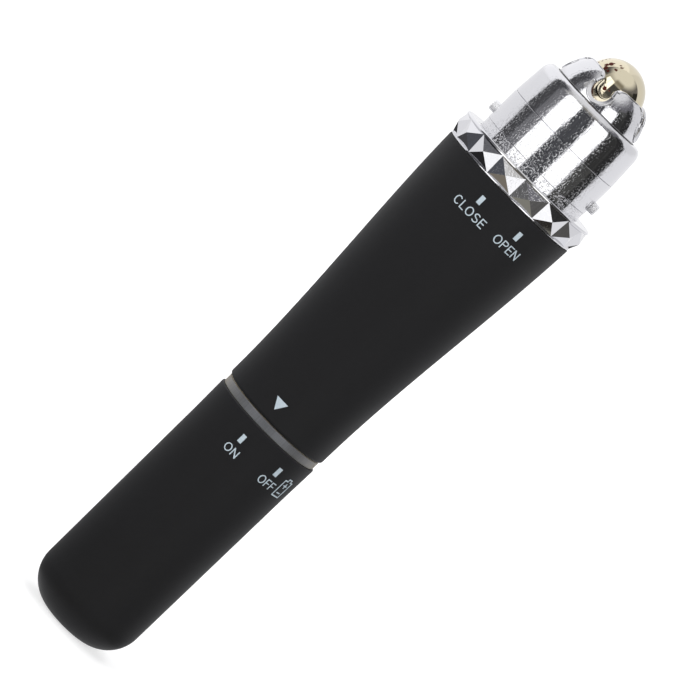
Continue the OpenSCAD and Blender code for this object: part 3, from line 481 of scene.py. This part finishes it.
def chrome_plating(name, nodule_height, top_share=1.0, lines=0.012, roughness=0.05):
    """Bright chrome. Heights are in mm, and top_share scales the nodules of the upper head."""
    material, tree, output = new_material(name)
    where = add_node(tree, "TexCoord").outputs["Object"]
    along = add_node(tree, "Mapping", Vector=where, Scale=(1, 1, LINE_STRETCH))
    polish = add_node(tree, "TexNoise", Vector=along.outputs[0], Scale=1 / (LINE_MM * MM), Detail=2)
    lined = add_node(tree, "Bump", Height=polish.outputs["Fac"], Strength=1, Distance=lines * MM)
    grain = add_node(tree, "TexNoise", Vector=where, Scale=1 / (NODULE_MM * MM), Detail=2,
                     Roughness=0.55)
    nodules = add_node(tree, "MapRange", Value=grain.outputs["Fac"], From_Min=0.54, From_Max=0.64)
    level = add_node(tree, "SeparateXYZ", Vector=where)
    fade = add_node(tree, "MapRange", Value=level.outputs["Z"], From_Min=FADE_FROM,
                    From_Max=FADE_TO, To_Min=1, To_Max=top_share)
    grainy = add_node(tree, "Bump", Height=nodules.outputs[0], Strength=fade.outputs[0],
                      Distance=nodule_height * MM, Normal=lined.outputs[0])
    cloudy = add_node(tree, "MapRange", Value=polish.outputs["Fac"], From_Min=0.3, From_Max=0.7,
                      To_Min=0.8 * roughness, To_Max=1.6 * roughness)
    surface = add_node(tree, "BsdfPrincipled", Base_Color=CHROME_TINT, Metallic=1,
                       Roughness=cloudy.outputs[0], Normal=grainy.outputs[0])
    tree.links.new(surface.outputs[0], output.inputs["Surface"])
    return material


# a clear mirror, whose white bands have lightly frayed edges
chrome = chrome_plating("bright_chrome_plated_ABS", 0.013, 0.5)
finish_nodes(chrome, "bayonet_collar", "head_shell")
print("bright chrome on bayonet_collar and head_shell")

# %% Painted shade at the foot of the cage
# painted shade: a dark band in the crevice between shell and cage, given by its height
PAINTED_SHADE_TOP, UNSHADED_FROM = 0.12 * MM, 0.26 * MM     # above the top of the shell

shell_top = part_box("head_shell")[1].z
# the same mirror, with a thin matt line of painted shade in the corner that sets cage and shell
# apart
cage_chrome = chrome_plating("bright_chrome_plated_ABS_cage", 0.013, 0.5)
finish_nodes(cage_chrome, "ball_cage")
tree, surface = cage_chrome.node_tree, shader_of(cage_chrome)
level = add_node(tree, "SeparateXYZ", Vector=add_node(tree, "TexCoord").outputs["Object"])
unshaded = add_node(tree, "MapRange", Value=level.outputs["Z"],
                 From_Min=shell_top + PAINTED_SHADE_TOP, From_Max=shell_top + UNSHADED_FROM)
# painted shade: dark and matt where the crevice lies in shadow, chrome above it
corner = add_node(tree, "MixRGB", Fac=unshaded.outputs[0],
                  Color1=linear("#2E2D2B"), Color2=CHROME_TINT)
tree.links.new(corner.outputs[0], surface.inputs["Base Color"])
tree.links.new(unshaded.outputs[0], surface.inputs["Metallic"])
print("top of the shell at", round(shell_top / MM, 2), "mm")

# %% Chrome on the neck, the facets, the pins and the lip
# badly plated: sparks of the softboxes all over the neck's dark bands
grainy_chrome = chrome_plating("grainy_chrome_plated_ABS", 0.045)
finish_nodes(grainy_chrome, "head_base")
# finely plated: each facet shows one clean tone
fine_chrome = chrome_plating("bright_chrome_plated_ABS_facets", 0.003, lines=0.006)
finish_nodes(fine_chrome, "facet_ring")
# rubbed: a pale glow without a clear mirror
dull_chrome = chrome_plating("rubbed_chrome_plated_ABS", 0.006, lines=0.003, roughness=0.35)
shader_of(dull_chrome).inputs["Base Color"].default_value = linear("#F2F2F4")
shader_of(dull_chrome).inputs["Metallic"].default_value = 0.5
finish_nodes(dull_chrome, "bayonet_pins")
# rolled: one soft bright line along the notches
lip_chrome = chrome_plating("bright_chrome_plated_ABS_rolled_lip", 0.003, lines=0.003,
                            roughness=0.12)
print("chrome on", [n for n in nodes if "chrome" in nodes[n].data.materials[0].name])

# %% [markdown]
# ### Edges that catch the light
#
# No plated edge is perfectly sharp. The facets get a hair-thin bevel, and the rim of the
# cage, which dips into four notches, gets a rolled lip. The lip follows the CAD model's own
# edge: the sharp edges on the outside of the dome are chained into one line, smoothed, and
# a section is swept along it. It has a low crest on the dome and a long slope down into the
# notch, which turns towards the softbox across from it and shines. On the prongs it is slight.

# %% Bevel on the facets
SAME_PLACE = 0.001 * MM                 # points closer than this are one point
BEVEL_WIDTH = 0.05 * MM
BEVEL_FROM = math.radians(12)           # edges that bend less stay as they are

weld = nodes["facet_ring"].modifiers.new("weld", "WELD")
weld.merge_threshold = SAME_PLACE
edge = nodes["facet_ring"].modifiers.new("edge", "BEVEL")
edge.width = BEVEL_WIDTH
edge.segments = 2
edge.limit_method = "ANGLE"
edge.angle_limit = BEVEL_FROM
edge.harden_normals = True
print("facets bevelled by", BEVEL_WIDTH / MM, "mm")

# %% The edge line of the cage
CAGE_RADIUS = 9.1 * MM                  # of its dome
DOME_DROP = 0.65 * MM                   # from the top of the shell down to the dome's centre
ON_DOME = 0.06 * MM                     # an edge on the outside lies this close to the dome
ABOVE_SHELL = 0.3 * MM                  # and this far above the shell
SHARP = 0.5                             # radians between the two faces of a sharp edge

cage_mesh = bmesh.new()
cage_mesh.from_mesh(nodes["ball_cage"].data)
bmesh.ops.remove_doubles(cage_mesh, verts=cage_mesh.verts[:], dist=SAME_PLACE)
cage_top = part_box("ball_cage")[1].z
cage_centre = Vector((0, 0, shell_top - DOME_DROP))
rim_edges = [e for e in cage_mesh.edges if len(e.link_faces) == 2 and e.calc_face_angle() > SHARP
             and all((v.co - cage_centre).length > CAGE_RADIUS - ON_DOME
                     and v.co.z > shell_top + ABOVE_SHELL for v in e.verts)]
beside = {}
for e in rim_edges:
    for v, w in (e.verts, reversed(e.verts)):
        beside.setdefault(v, []).append(w)
chain = [rim_edges[0].verts[0], rim_edges[0].verts[1]]
while chain[-1] != chain[0]:
    chain.append(next(v for v in beside[chain[-1]] if v != chain[-2]))
line = [v.co.copy() for v in chain[:-1]]
cage_mesh.free()
print("rim of", len(line), "points out of", len(rim_edges))

# %% The line in even steps, smoothed
LIP_STEP = 0.15 * MM
SMOOTHINGS = 4


def evenly(points, step):
    """Points at an even distance along a closed line."""
    ring = points + points[:1]
    reach = [0.0]
    for p, q in zip(ring, ring[1:]):
        reach.append(reach[-1] + (q - p).length)
    count = round(reach[-1] / step)
    result, k = [], 0
    for i in range(count):
        goal = reach[-1] * i / count
        while reach[k + 1] < goal:
            k += 1
        result.append(ring[k].lerp(ring[k + 1], (goal - reach[k]) / (reach[k + 1] - reach[k])))
    return result


line = evenly(line, LIP_STEP)
for _ in range(SMOOTHINGS):
    line = [(line[k - 1] + 2 * p + line[(k + 1) % len(line)]) / 4 for k, p in enumerate(line)]
print("line of", len(line), "points")

# %% The rolled lip
# section of the lip in mm: away from the notch along the dome, and out of the dome
LIP_SECTION = ((0.5, -0.1), (0.49, 0.02), (0.45, 0.12), (0.37, 0.185), (0.28, 0.2), (0.17, 0.15),
               (0.04, 0.065), (-0.1, -0.03), (-0.24, -0.125), (-0.33, -0.2), (-0.37, -0.28),
               (-0.33, -0.36), (-0.2, -0.4), (0.2, -0.4))
LIP_ON_PRONGS = (0.44, 0.5)             # its width and height there, as shares of the full ones
PRONG_DEPTH, PRONG_BLUR = 0.5 * MM, 1.4 * MM    # where they change, below the cage's top

lip = bmesh.new()
rings = []
for k, p in enumerate(line):
    normal = (p - cage_centre).normalized()
    along = (line[(k + 1) % len(line)] - line[k - 1]).normalized()
    side = along.cross(normal)
    if side.z > 0:
        side = -side                    # away from the notch, towards the dome
    thin = soft_step(p.z, cage_top - PRONG_DEPTH, PRONG_BLUR)
    wide, high = ((1 + (share - 1) * thin) * MM for share in LIP_ON_PRONGS)
    middle = cage_centre + CAGE_RADIUS * normal
    rings.append([lip.verts.new(middle + u * wide * side + v * high * normal)
                  for u, v in LIP_SECTION])
for k in range(len(rings)):
    near, far = rings[k - 1], rings[k]
    for j in range(len(LIP_SECTION)):
        lip.faces.new((near[j - 1], near[j], far[j], far[j - 1])).smooth = True
bmesh.ops.recalc_face_normals(lip, faces=lip.faces[:])
lip_mesh = bpy.data.meshes.new("cage_lip")
lip.to_mesh(lip_mesh)
lip.free()
lip_mesh.materials.append(lip_chrome)
cage_lip = bpy.data.objects.new("cage_lip", lip_mesh)
scene.collection.objects.link(cage_lip)
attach(cage_lip, "head")
print("lip of", len(rings), "rings and", len(lip_mesh.polygons), "faces")

# %% [markdown]
# ## Satin grey ring
#
# The switch ring is a grey metallic moulding with a fine turned texture: tight upright
# lines about 0.3 mm apart with finer ones between them, which make it look like brushed
# metal. A half metallic surface gives both the grey of the plastic and a soft mirror of the
# room. A warm sheen stands for the bloom of its lacquer, which shows where the surface
# turns away.

# %% Satin ring
LINES_ROUND = 220                       # noise cells round the ring, of about 0.3 mm

satin, tree, output = new_material("satin_moulded_grey_ABS")
where = add_node(tree, "TexCoord").outputs["Object"]
level = add_node(tree, "SeparateXYZ", Vector=where)
bearing = add_node(tree, "Math", {"operation": "ARCTAN2"},
                   _0=level.outputs["Y"], _1=level.outputs["X"])
streaks = add_node(tree, "TexNoise", {"noise_dimensions": "1D"}, W=bearing.outputs[0],
                   Scale=LINES_ROUND / (2 * math.pi), Detail=3)
tone = add_node(tree, "MixRGB", Fac=streaks.outputs["Fac"],
                Color1=linear("#575A5F"), Color2=linear("#74767A"))
lines = add_node(tree, "Bump", Height=streaks.outputs["Fac"], Strength=0.4, Distance=0.03 * MM)
surface = add_node(tree, "BsdfPrincipled", Base_Color=tone.outputs[0], Roughness=0.45,
                   Metallic=0.5, Normal=lines.outputs[0], Sheen_Weight=0.6, Sheen_Roughness=0.5,
                   Sheen_Tint=linear("#E2D2B2"))
tree.links.new(surface.outputs[0], output.inputs["Surface"])
finish_nodes(satin, "switch_ring")
print("satin grey on switch_ring")

# %% [markdown]
# ## The ball
#
# The ball is hard steel under a warm nickel finish, polished to a mirror, which shows the
# room in pale gold. Reddish rust specks sit at its left as the camera sees it. Each speck is
# a round spot whose distance is bent by a noise, so its outline is ragged. The smallest
# distance of all wins, which joins spots that touch. A second noise scatters dots of a tenth
# of a millimetre round them. The lower half is a little scuffed, so its mirror wavers.

# %% Where the rust sits
ball_low, ball_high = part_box("massage_ball")
ball_centre = (ball_low + ball_high) / 2
BALL_RADIUS = (ball_high.z - ball_low.z) / 2
# each speck in mm as the camera sees the ball: to the right, up, and its radius
SPECKS = ((-2.2, 2.95, 0.3), (-1.75, 3.95, 0.26), (-2.15, 4.15, 0.2), (-3.55, 3.15, 0.48),
          (-3.3, 3.55, 0.25), (-3.95, 2.5, 0.38), (-3.7, 2.0, 0.48), (-3.1, 1.85, 0.3),
          (-4.75, 3.2, 0.2), (-5.0, 2.6, 0.22), (-4.4, 3.75, 0.18), (-5.3, 1.9, 0.2),
          (-1.3, -0.75, 0.4), (-0.45, -0.5, 0.22))

nickel, tree, output = new_material("polished_warm_nickel_steel")
where = add_node(tree, "TexCoord").outputs["Object"]
nearest = 1.0
for across, rise, radius in SPECKS:
    toward = math.sqrt(1 - (across ** 2 + rise ** 2) * MM ** 2 / BALL_RADIUS ** 2) * BALL_RADIUS
    spot = ball_centre + across * MM * level_right + rise * MM * level_up + toward * out
    away = add_node(tree, "VectorMath", {"operation": "DISTANCE"}, _0=where, _1=tuple(spot))
    past = add_node(tree, "Math", {"operation": "SUBTRACT"}, _0=away.outputs["Value"],
                    _1=radius * MM)
    nearest = add_node(tree, "Math", {"operation": "MINIMUM"}, _0=past.outputs[0],
                       _1=nearest).outputs[0]
print("specks:", len(SPECKS))

# %% Ragged spots and scattered dots
ragged = add_node(tree, "TexNoise", Vector=where, Scale=1 / (0.3 * MM), Detail=2)
bent = add_node(tree, "Math", {"operation": "MULTIPLY_ADD"},
                _0=ragged.outputs["Fac"], _1=0.5 * MM, _2=nearest)
speck = add_node(tree, "MapRange", Value=bent.outputs[0], From_Min=0.27 * MM, From_Max=0.2 * MM)
# dots get rarer away from the specks, and end 0.9 mm from them
patch = add_node(tree, "MapRange", Value=nearest, From_Min=0, From_Max=0.9 * MM,
                 To_Min=0.14, To_Max=0)
dots = add_node(tree, "TexNoise", Vector=where, Scale=1 / (0.28 * MM), Detail=2, Roughness=0.6)
count = add_node(tree, "Math", {"operation": "ADD"},
                 _0=dots.outputs["Fac"], _1=patch.outputs[0])
dotted = add_node(tree, "MapRange", Value=count.outputs[0], From_Min=0.74, From_Max=0.78)
rusty = add_node(tree, "Math", {"operation": "MAXIMUM"},
                 _0=speck.outputs[0], _1=dotted.outputs[0])
print("rust from", len(tree.nodes), "shader nodes")

# %% Warm nickel ball
SCUFF_FADE = 1.5 * MM                   # above the ball's middle, the waves fade over this

stained = add_node(tree, "MixRGB", Fac=rusty.outputs[0],
                   Color1=linear("#DCD3BA"), Color2=linear("#5E2F25"))
rough = add_node(tree, "MapRange", Value=rusty.outputs[0], To_Min=0.035, To_Max=0.5)
waves = add_node(tree, "TexNoise", Vector=where, Scale=1 / (1.6 * MM), Detail=1)
level = add_node(tree, "SeparateXYZ", Vector=where)
scuffed = add_node(tree, "MapRange", Value=level.outputs["Z"], From_Min=ball_centre.z,
                   From_Max=ball_centre.z + SCUFF_FADE, To_Min=1, To_Max=0.12)
wavy = add_node(tree, "Bump", Height=waves.outputs["Fac"], Strength=scuffed.outputs[0],
                Distance=0.03 * MM)
surface = add_node(tree, "BsdfPrincipled", Base_Color=stained.outputs[0], Metallic=1,
                   Roughness=rough.outputs[0], Normal=wavy.outputs[0])
tree.links.new(surface.outputs[0], output.inputs["Surface"])
finish_nodes(nickel, "massage_ball")
print("ball of", round(2 * BALL_RADIUS / MM, 2), "mm")

# %% [markdown]
# ## The parts inside
#
# When the sleeve is pulled off, the cradle, the cell and the contacts show. They are
# finished as carefully as the outside: moulded white plastic, black rubber, nickel-plated
# steel, stamped brass, sintered bronze, grey ferrite, red wire insulation and the plain
# printed film of the cell, with a copper-coloured band at its plus end and two thin pale
# lines. One recipe serves them all, because they differ in tone, gloss and grain only.

# %% A recipe for plain finishes
def plain_finish(name, tint, shade, roughness, grain_mm, bump, metallic=0.0, specular=0.5):
    """A material whose tone drifts between two colours, with an even fine grain."""
    material, tree, output = new_material(name)
    where = add_node(tree, "TexCoord").outputs["Object"]
    drift = add_node(tree, "TexNoise", Vector=where, Scale=1 / (6 * MM), Detail=2)
    tone = add_node(tree, "MixRGB", Fac=drift.outputs["Fac"],
                    Color1=linear(tint), Color2=linear(shade))
    grain = add_node(tree, "TexNoise", Vector=where, Scale=1 / (grain_mm * MM), Detail=3)
    uneven = add_node(tree, "MapRange", Value=grain.outputs["Fac"], From_Min=0.3, From_Max=0.7,
                      To_Min=roughness * 0.85, To_Max=roughness * 1.15)
    bumps = add_node(tree, "Bump", Height=grain.outputs["Fac"], Strength=bump, Distance=0.03 * MM)
    surface = add_node(tree, "BsdfPrincipled", Base_Color=tone.outputs[0], Metallic=metallic,
                       Roughness=uneven.outputs[0], Normal=bumps.outputs[0])
    if not metallic:
        surface.inputs["Specular IOR Level"].default_value = specular
    tree.links.new(surface.outputs[0], output.inputs["Surface"])
    return material


# warm white with a soft highlight
white_abs = plain_finish("moulded_white_ABS", "#DDDBD3", "#E6E4DD", 0.42, 0.3, 0.15)
finish_nodes(white_abs, "chassis", "motor_end_bell", "weight_cover", "bayonet_socket")
# whiter, smoother and a little waxy
acetal = plain_finish("moulded_white_acetal", "#E9E8E2", "#F0EFEA", 0.3, 0.4, 0.08)
finish_nodes(acetal, "ball_seat")
# near black and matt
rubber = plain_finish("moulded_black_nitrile_rubber", "#161617", "#1D1D1F", 0.6, 0.25, 0.2,
                      specular=0.35)
finish_nodes(rubber, "sleeve_oring", "motor_boot", "head_oring", "seat_gasket")
print("white ABS, acetal and rubber")

# %% Metals inside
# cool grey with a blurred mirror
steel = plain_finish("nickel_plated_drawn_steel", "#BDBDBB", "#CBCBC8", 0.26, 0.35, 0.12,
                     metallic=1.0)
finish_nodes(steel, "negative_spring", "retaining_clip", "battery_cap", "motor_can",
             "cover_screws", "motor_shaft", "eccentric_weight")
# yellow, with the same kind of mirror
brass = plain_finish("stamped_brass_strip", "#C9A35A", "#D6B36B", 0.3, 0.3, 0.12, metallic=1.0)
finish_nodes(brass, "contact_strip", "positive_contact", "switch_contact", "motor_terminals")
# brown and grainy, because its pores hold oil
bronze = plain_finish("sintered_oil_bronze", "#A97C4E", "#B98C5C", 0.45, 0.15, 0.35, metallic=1.0)
finish_nodes(bronze, "motor_bush")
print("steel, brass and bronze")

# %% Ferrite, wire and the cell's film
# dull dark grey, like fine cast iron
ferrite = plain_finish("pressed_grey_ferrite", "#4A4A4C", "#56565A", 0.6, 0.2, 0.3)
finish_nodes(ferrite, "motor_magnets", "armature")
# a smooth clear red
wire = plain_finish("extruded_red_PVC_insulation", "#A61E1E", "#B42A24", 0.4, 0.4, 0.08)
finish_nodes(wire, "motor_leads")
# slate blue, tight and glossy
jacket = plain_finish("plain_printed_shrink_film", "#39404A", "#414955", 0.3, 0.5, 0.05)
finish_nodes(jacket, "battery_can")
left_over = [n for n in nodes if not nodes[n].data.materials[0].use_nodes]
print("CAD nodes still without a finish:", left_over)

# %% The cell's printed bands
# depth of each band below the plus end and its width, in mm, and its colour
BANDS = ((0, 11, "#B88A4A"), (11, 0.5, "#D9DBDD"), (46, 0.5, "#D9DBDD"))

tree, surface = jacket.node_tree, shader_of(jacket)
tone = surface.inputs["Base Color"].links[0].from_socket
cell_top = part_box("battery_can")[1].z
level = add_node(tree, "SeparateXYZ", Vector=add_node(tree, "TexCoord").outputs["Object"])
for depth, thick, colour in BANDS:
    middle, half = cell_top - (depth + thick / 2) * MM, thick / 2 * MM
    band = add_node(tree, "Math", {"operation": "COMPARE"},
                    _0=level.outputs["Z"], _1=middle, _2=half)
    tone = add_node(tree, "MixRGB", Fac=band.outputs[0], Color1=tone,
                    Color2=linear(colour)).outputs[0]
tree.links.new(tone, surface.inputs["Base Color"])
print("cell bands up to", round(cell_top / MM, 2), "mm")

# %% [markdown]
# ## Printed marks
#
# The ticks, the words ON, OFF, OPEN and CLOSE and the small triangle are pad-printed in
# pale ink. Ink lies on the lacquer as a very thin film, so each mark is cut flat, bent
# round the handle and given a thickness of a few hundredths of a millimetre. Rays that are
# shot at the CAD skin say where the ink lies.

# %% Where the skin of the handle is
OUTSIDE = 0.05                          # metres from the axis, where the rays start


def skin_of(name):
    """A search tree over the faces of a CAD node."""
    mesh = nodes[name].data
    return BVHTree.FromPolygons([v.co for v in mesh.vertices],
                                [tuple(f.vertices) for f in mesh.polygons])


def skin_radius(skin, azimuth, z):
    """Distance of the skin from the axis, in metres, found with a ray from outside."""
    way = Vector((math.sin(azimuth), -math.cos(azimuth), 0))
    hit = skin.ray_cast(OUTSIDE * way + Vector((0, 0, z)), -way)[0]
    return math.hypot(hit.x, hit.y)


skins = {"sleeve": skin_of("battery_sleeve"), "grip": skin_of("grip_body")}
print("radius at the words, mm:", round(skin_radius(skins["sleeve"], 0, 44.2 * MM) / MM, 2),
      round(skin_radius(skins["grip"], 0, 103.2 * MM) / MM, 2))

# %% Pale ink, a matt film that is worn a little unevenly
ink, tree, output = new_material("pad_printed_pale_ink")
where = add_node(tree, "TexCoord").outputs["Object"]
worn = add_node(tree, "TexNoise", Vector=where, Scale=1 / (0.35 * MM), Detail=3)
tone = add_node(tree, "MixRGB", Fac=worn.outputs["Fac"],
                Color1=linear("#A8B9C3"), Color2=linear("#C8D3D9"))
surface = add_node(tree, "BsdfPrincipled", Base_Color=tone.outputs[0], Roughness=0.5)
tree.links.new(surface.outputs[0], output.inputs["Surface"])
print("ink:", ink.name)

# %% Bending a flat mark round the handle
INK_THICK = 0.035 * MM
SUNK = 0.01 * MM                        # depth of the film's underside in the lacquer
CUT_STEP = 0.25                         # mm between the cuts that let a mark bend


def print_mark(name, shape, azimuth, z, body):
    """Wraps a flat bmesh, in mm about its own middle, round a body as printed ink."""
    skin = skins[body]
    middle = skin_radius(skin, math.radians(azimuth), z * MM)
    xs = [v.co.x for v in shape.verts]
    cut = min(xs) + CUT_STEP
    while cut < max(xs):
        bmesh.ops.bisect_plane(shape, geom=shape.verts[:] + shape.edges[:] + shape.faces[:],
                               plane_co=(cut, 0, 0), plane_no=(1, 0, 0))
        cut += CUT_STEP
    for v in shape.verts:
        high = (z + v.co.y) * MM
        angle = math.radians(azimuth) + v.co.x * MM / middle
        radius = skin_radius(skin, angle, high) - SUNK
        v.co = Vector((radius * math.sin(angle), -radius * math.cos(angle), high))
    bmesh.ops.recalc_face_normals(shape, faces=shape.faces[:])
    mesh = bpy.data.meshes.new(name)
    shape.to_mesh(mesh)
    shape.free()
    mesh.materials.append(ink)
    piece = bpy.data.objects.new(name, mesh)
    scene.collection.objects.link(piece)
    first = mesh.polygons[0]
    outward = Vector((first.center.x, first.center.y, 0)).dot(first.normal) > 0
    film = piece.modifiers.new("film", "SOLIDIFY")
    film.thickness = INK_THICK
    film.offset = 1 if outward else -1
    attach(piece, body)


def polygon(points):
    """A flat bmesh of one polygon, in mm."""
    shape = bmesh.new()
    shape.faces.new([shape.verts.new((x, y, 0)) for x, y in points])
    return shape


def bar(width, height):
    """A flat bmesh of an upright bar about its own middle, in mm."""
    return polygon([(-width / 2, -height / 2), (width / 2, -height / 2),
                    (width / 2, height / 2), (-width / 2, height / 2)])


print("film of", round(INK_THICK / MM, 3), "mm")

# %% [markdown]
# ### Letters from strokes
#
# The words are set in a narrow letter of even stroke. A ready-made font would be too wide
# and too round, so each letter is drawn as the path of a pen in a box of height 1. The
# pen's width is the same all over, so a path turns into a strip of quads, with its corners
# mitred, and no two strips of a letter overlap.

# %% The narrow letters
PEN = 0.112                             # width of the stroke, as a share of the height
HALF = PEN / 2


def bow(x, y, rx, ry, start, end, steps=14):
    """Points of an elliptical arc, with angles in degrees from the right."""
    turn = [math.radians(start + (end - start) * k / steps) for k in range(steps + 1)]
    return [(x + rx * math.cos(t), y + ry * math.sin(t)) for t in turn]


# each letter: its width, and its pen paths
LETTERS = {
    "C": (0.70, [bow(0.37, 0.5, 0.37 - HALF, 0.5 - HALF, 42, 318, 32)]),
    "E": (0.56, [[(0.56, 1 - HALF), (HALF, 1 - HALF), (HALF, HALF), (0.56, HALF)],
                 [(PEN, 0.52), (0.51, 0.52)]]),
    "F": (0.54, [[(0.54, 1 - HALF), (HALF, 1 - HALF), (HALF, 0)], [(PEN, 0.5), (0.49, 0.5)]]),
    "L": (0.52, [[(HALF, 1), (HALF, HALF), (0.52, HALF)]]),
    "N": (0.68, [[(HALF, 0), (HALF, 1)], [(0.68 - HALF, 0), (0.68 - HALF, 1)]]),
    "O": (0.78, [bow(0.78 / 2, 0.5, 0.78 / 2 - HALF, 0.5 - HALF, 0, 360, 40)]),
    "P": (0.60, [[(HALF, 0), (HALF, 1)],
                 [(PEN, 1 - HALF)] + bow(0.34, 0.73, 0.26 - HALF, 0.27 - HALF, 90, -90)
                 + [(PEN, 0.46 + HALF)]]),
    "S": (0.64, [bow(0.32, 0.735, 0.30 - HALF, 0.265 - HALF, 30, 255, 18)
                 + bow(0.32, 0.275, 0.32 - HALF, 0.275 - HALF, 75, -150, 18)]),
}
N_BAR = [(PEN, 1), (PEN, 0.75), (0.68 - PEN, 0), (0.68 - PEN, 0.25)]
LETTER_GAP = 0.15
print("letters:", "".join(LETTERS))

# %% Strokes and words
CLOSED = 1e-6                           # a path that ends this close to its start is closed
MITRE = 0.3                             # least cosine at a corner, so that none shoots out


def stroke(shape, path, left, half=HALF):
    """Adds one pen path to a flat bmesh, as a strip of quads from the point left on."""
    closed = math.dist(path[0], path[-1]) < CLOSED
    path = path[:-1] if closed else path
    count = len(path)
    rails = []
    for k, (x, y) in enumerate(path):
        before = path[(k - 1) % count] if closed or k else None
        after = path[(k + 1) % count] if closed or k < count - 1 else None
        a = Vector((x - before[0], y - before[1])).normalized() if before else None
        b = Vector((after[0] - x, after[1] - y)).normalized() if after else None
        along = ((a or b) + (b or a)).normalized()
        reach = half / max(MITRE, along.dot(a or b))
        side = Vector((-along.y, along.x)) * reach
        rails.append([shape.verts.new((left + x + s * side.x, y + s * side.y, 0)) for s in (-1, 1)])
    for k in range(count if closed else count - 1):
        (a0, a1), (b0, b1) = rails[k], rails[(k + 1) % count]
        shape.faces.new((a0, b0, b1, a1))


def word(text, width, height):
    """A flat bmesh of a word about its own middle, in mm, fitted to a size."""
    shape = bmesh.new()
    left = 0
    for letter in text:
        advance, paths = LETTERS[letter]
        for path in paths:
            stroke(shape, path, left)
        if letter == "N":
            shape.faces.new([shape.verts.new((left + x, y, 0)) for x, y in N_BAR])
        left += advance + LETTER_GAP
    long = left - LETTER_GAP
    for v in shape.verts:
        v.co = Vector(((v.co.x - long / 2) * width / long, (v.co.y - 0.5) * height, 0))
    return shape


print("gap between letters:", LETTER_GAP, "of their height")

# %% Ticks, words and the triangle
# name, shape, azimuth in degrees, height of its middle in mm, body that it is printed on
MARKS = (
    ("tick_on", bar(0.83, 1.68), -0.2, 46.95, "sleeve"),
    ("tick_off", bar(0.9, 1.84), 46.2, 47.0, "sleeve"),
    ("tick_close", bar(0.86, 1.7), -2.0, 106.0, "grip"),
    ("tick_open", bar(0.9, 1.74), 34.5, 106.1, "grip"),
    ("word_on", word("ON", 2.95, 1.6), 0.1, 44.25, "sleeve"),
    ("word_off", word("OFF", 4.1, 1.66), 46.2, 44.3, "sleeve"),
    ("word_close", word("CLOSE", 7.2, 1.7), -2.2, 103.25, "grip"),
    ("word_open", word("OPEN", 6.1, 1.7), 34.8, 103.35, "grip"),
    ("pointer_triangle", polygon([(-1.32, 1.08), (0, -1.08), (1.32, 1.08)]), 1.0, 55.66, "grip"),
)
for mark in MARKS:
    print_mark(*mark)
print("printed:", [mark[0] for mark in MARKS])

# %% [markdown]
# ### A small battery sign
#
# Beside OFF a small upright sign of a battery says that the cell goes in here. It is a plain
# one: the outline of a cell with its button, a plus inside it near the top and a minus near
# its foot. All its lines have one width, so the outline is drawn with the letters' pen.

# %% The battery sign
LINE = 0.24                             # mm, width of the sign's lines
CELL_HALF, CELL_LOW, CELL_HIGH = 1.2, -2.0, 1.5
BUTTON_HALF, BUTTON_HIGH = 0.45, 2.0
SIGN_AZIMUTH, SIGN_Z = 67.6, 45.25
PLUS, ARM = 0.55, LINE / 2              # half the length and half the width of an arm

outline = [(-CELL_HALF, CELL_LOW), (CELL_HALF, CELL_LOW), (CELL_HALF, CELL_HIGH),
           (BUTTON_HALF, CELL_HIGH), (BUTTON_HALF, BUTTON_HIGH), (-BUTTON_HALF, BUTTON_HIGH),
           (-BUTTON_HALF, CELL_HIGH), (-CELL_HALF, CELL_HIGH)]
plus = [(-PLUS, -ARM), (-ARM, -ARM), (-ARM, -PLUS), (ARM, -PLUS), (ARM, -ARM), (PLUS, -ARM),
        (PLUS, ARM), (ARM, ARM), (ARM, PLUS), (-ARM, PLUS), (-ARM, ARM), (-PLUS, ARM)]
loop = bmesh.new()
stroke(loop, outline + outline[:1], 0, LINE / 2)
print_mark("sign_outline", loop, SIGN_AZIMUTH, SIGN_Z, "sleeve")
print_mark("sign_plus", polygon(plus), SIGN_AZIMUTH, SIGN_Z + 0.5, "sleeve")
print_mark("sign_minus", bar(2 * PLUS, LINE), SIGN_AZIMUTH, SIGN_Z - 1.2, "sleeve")
print("battery sign at", SIGN_AZIMUTH, "degrees")
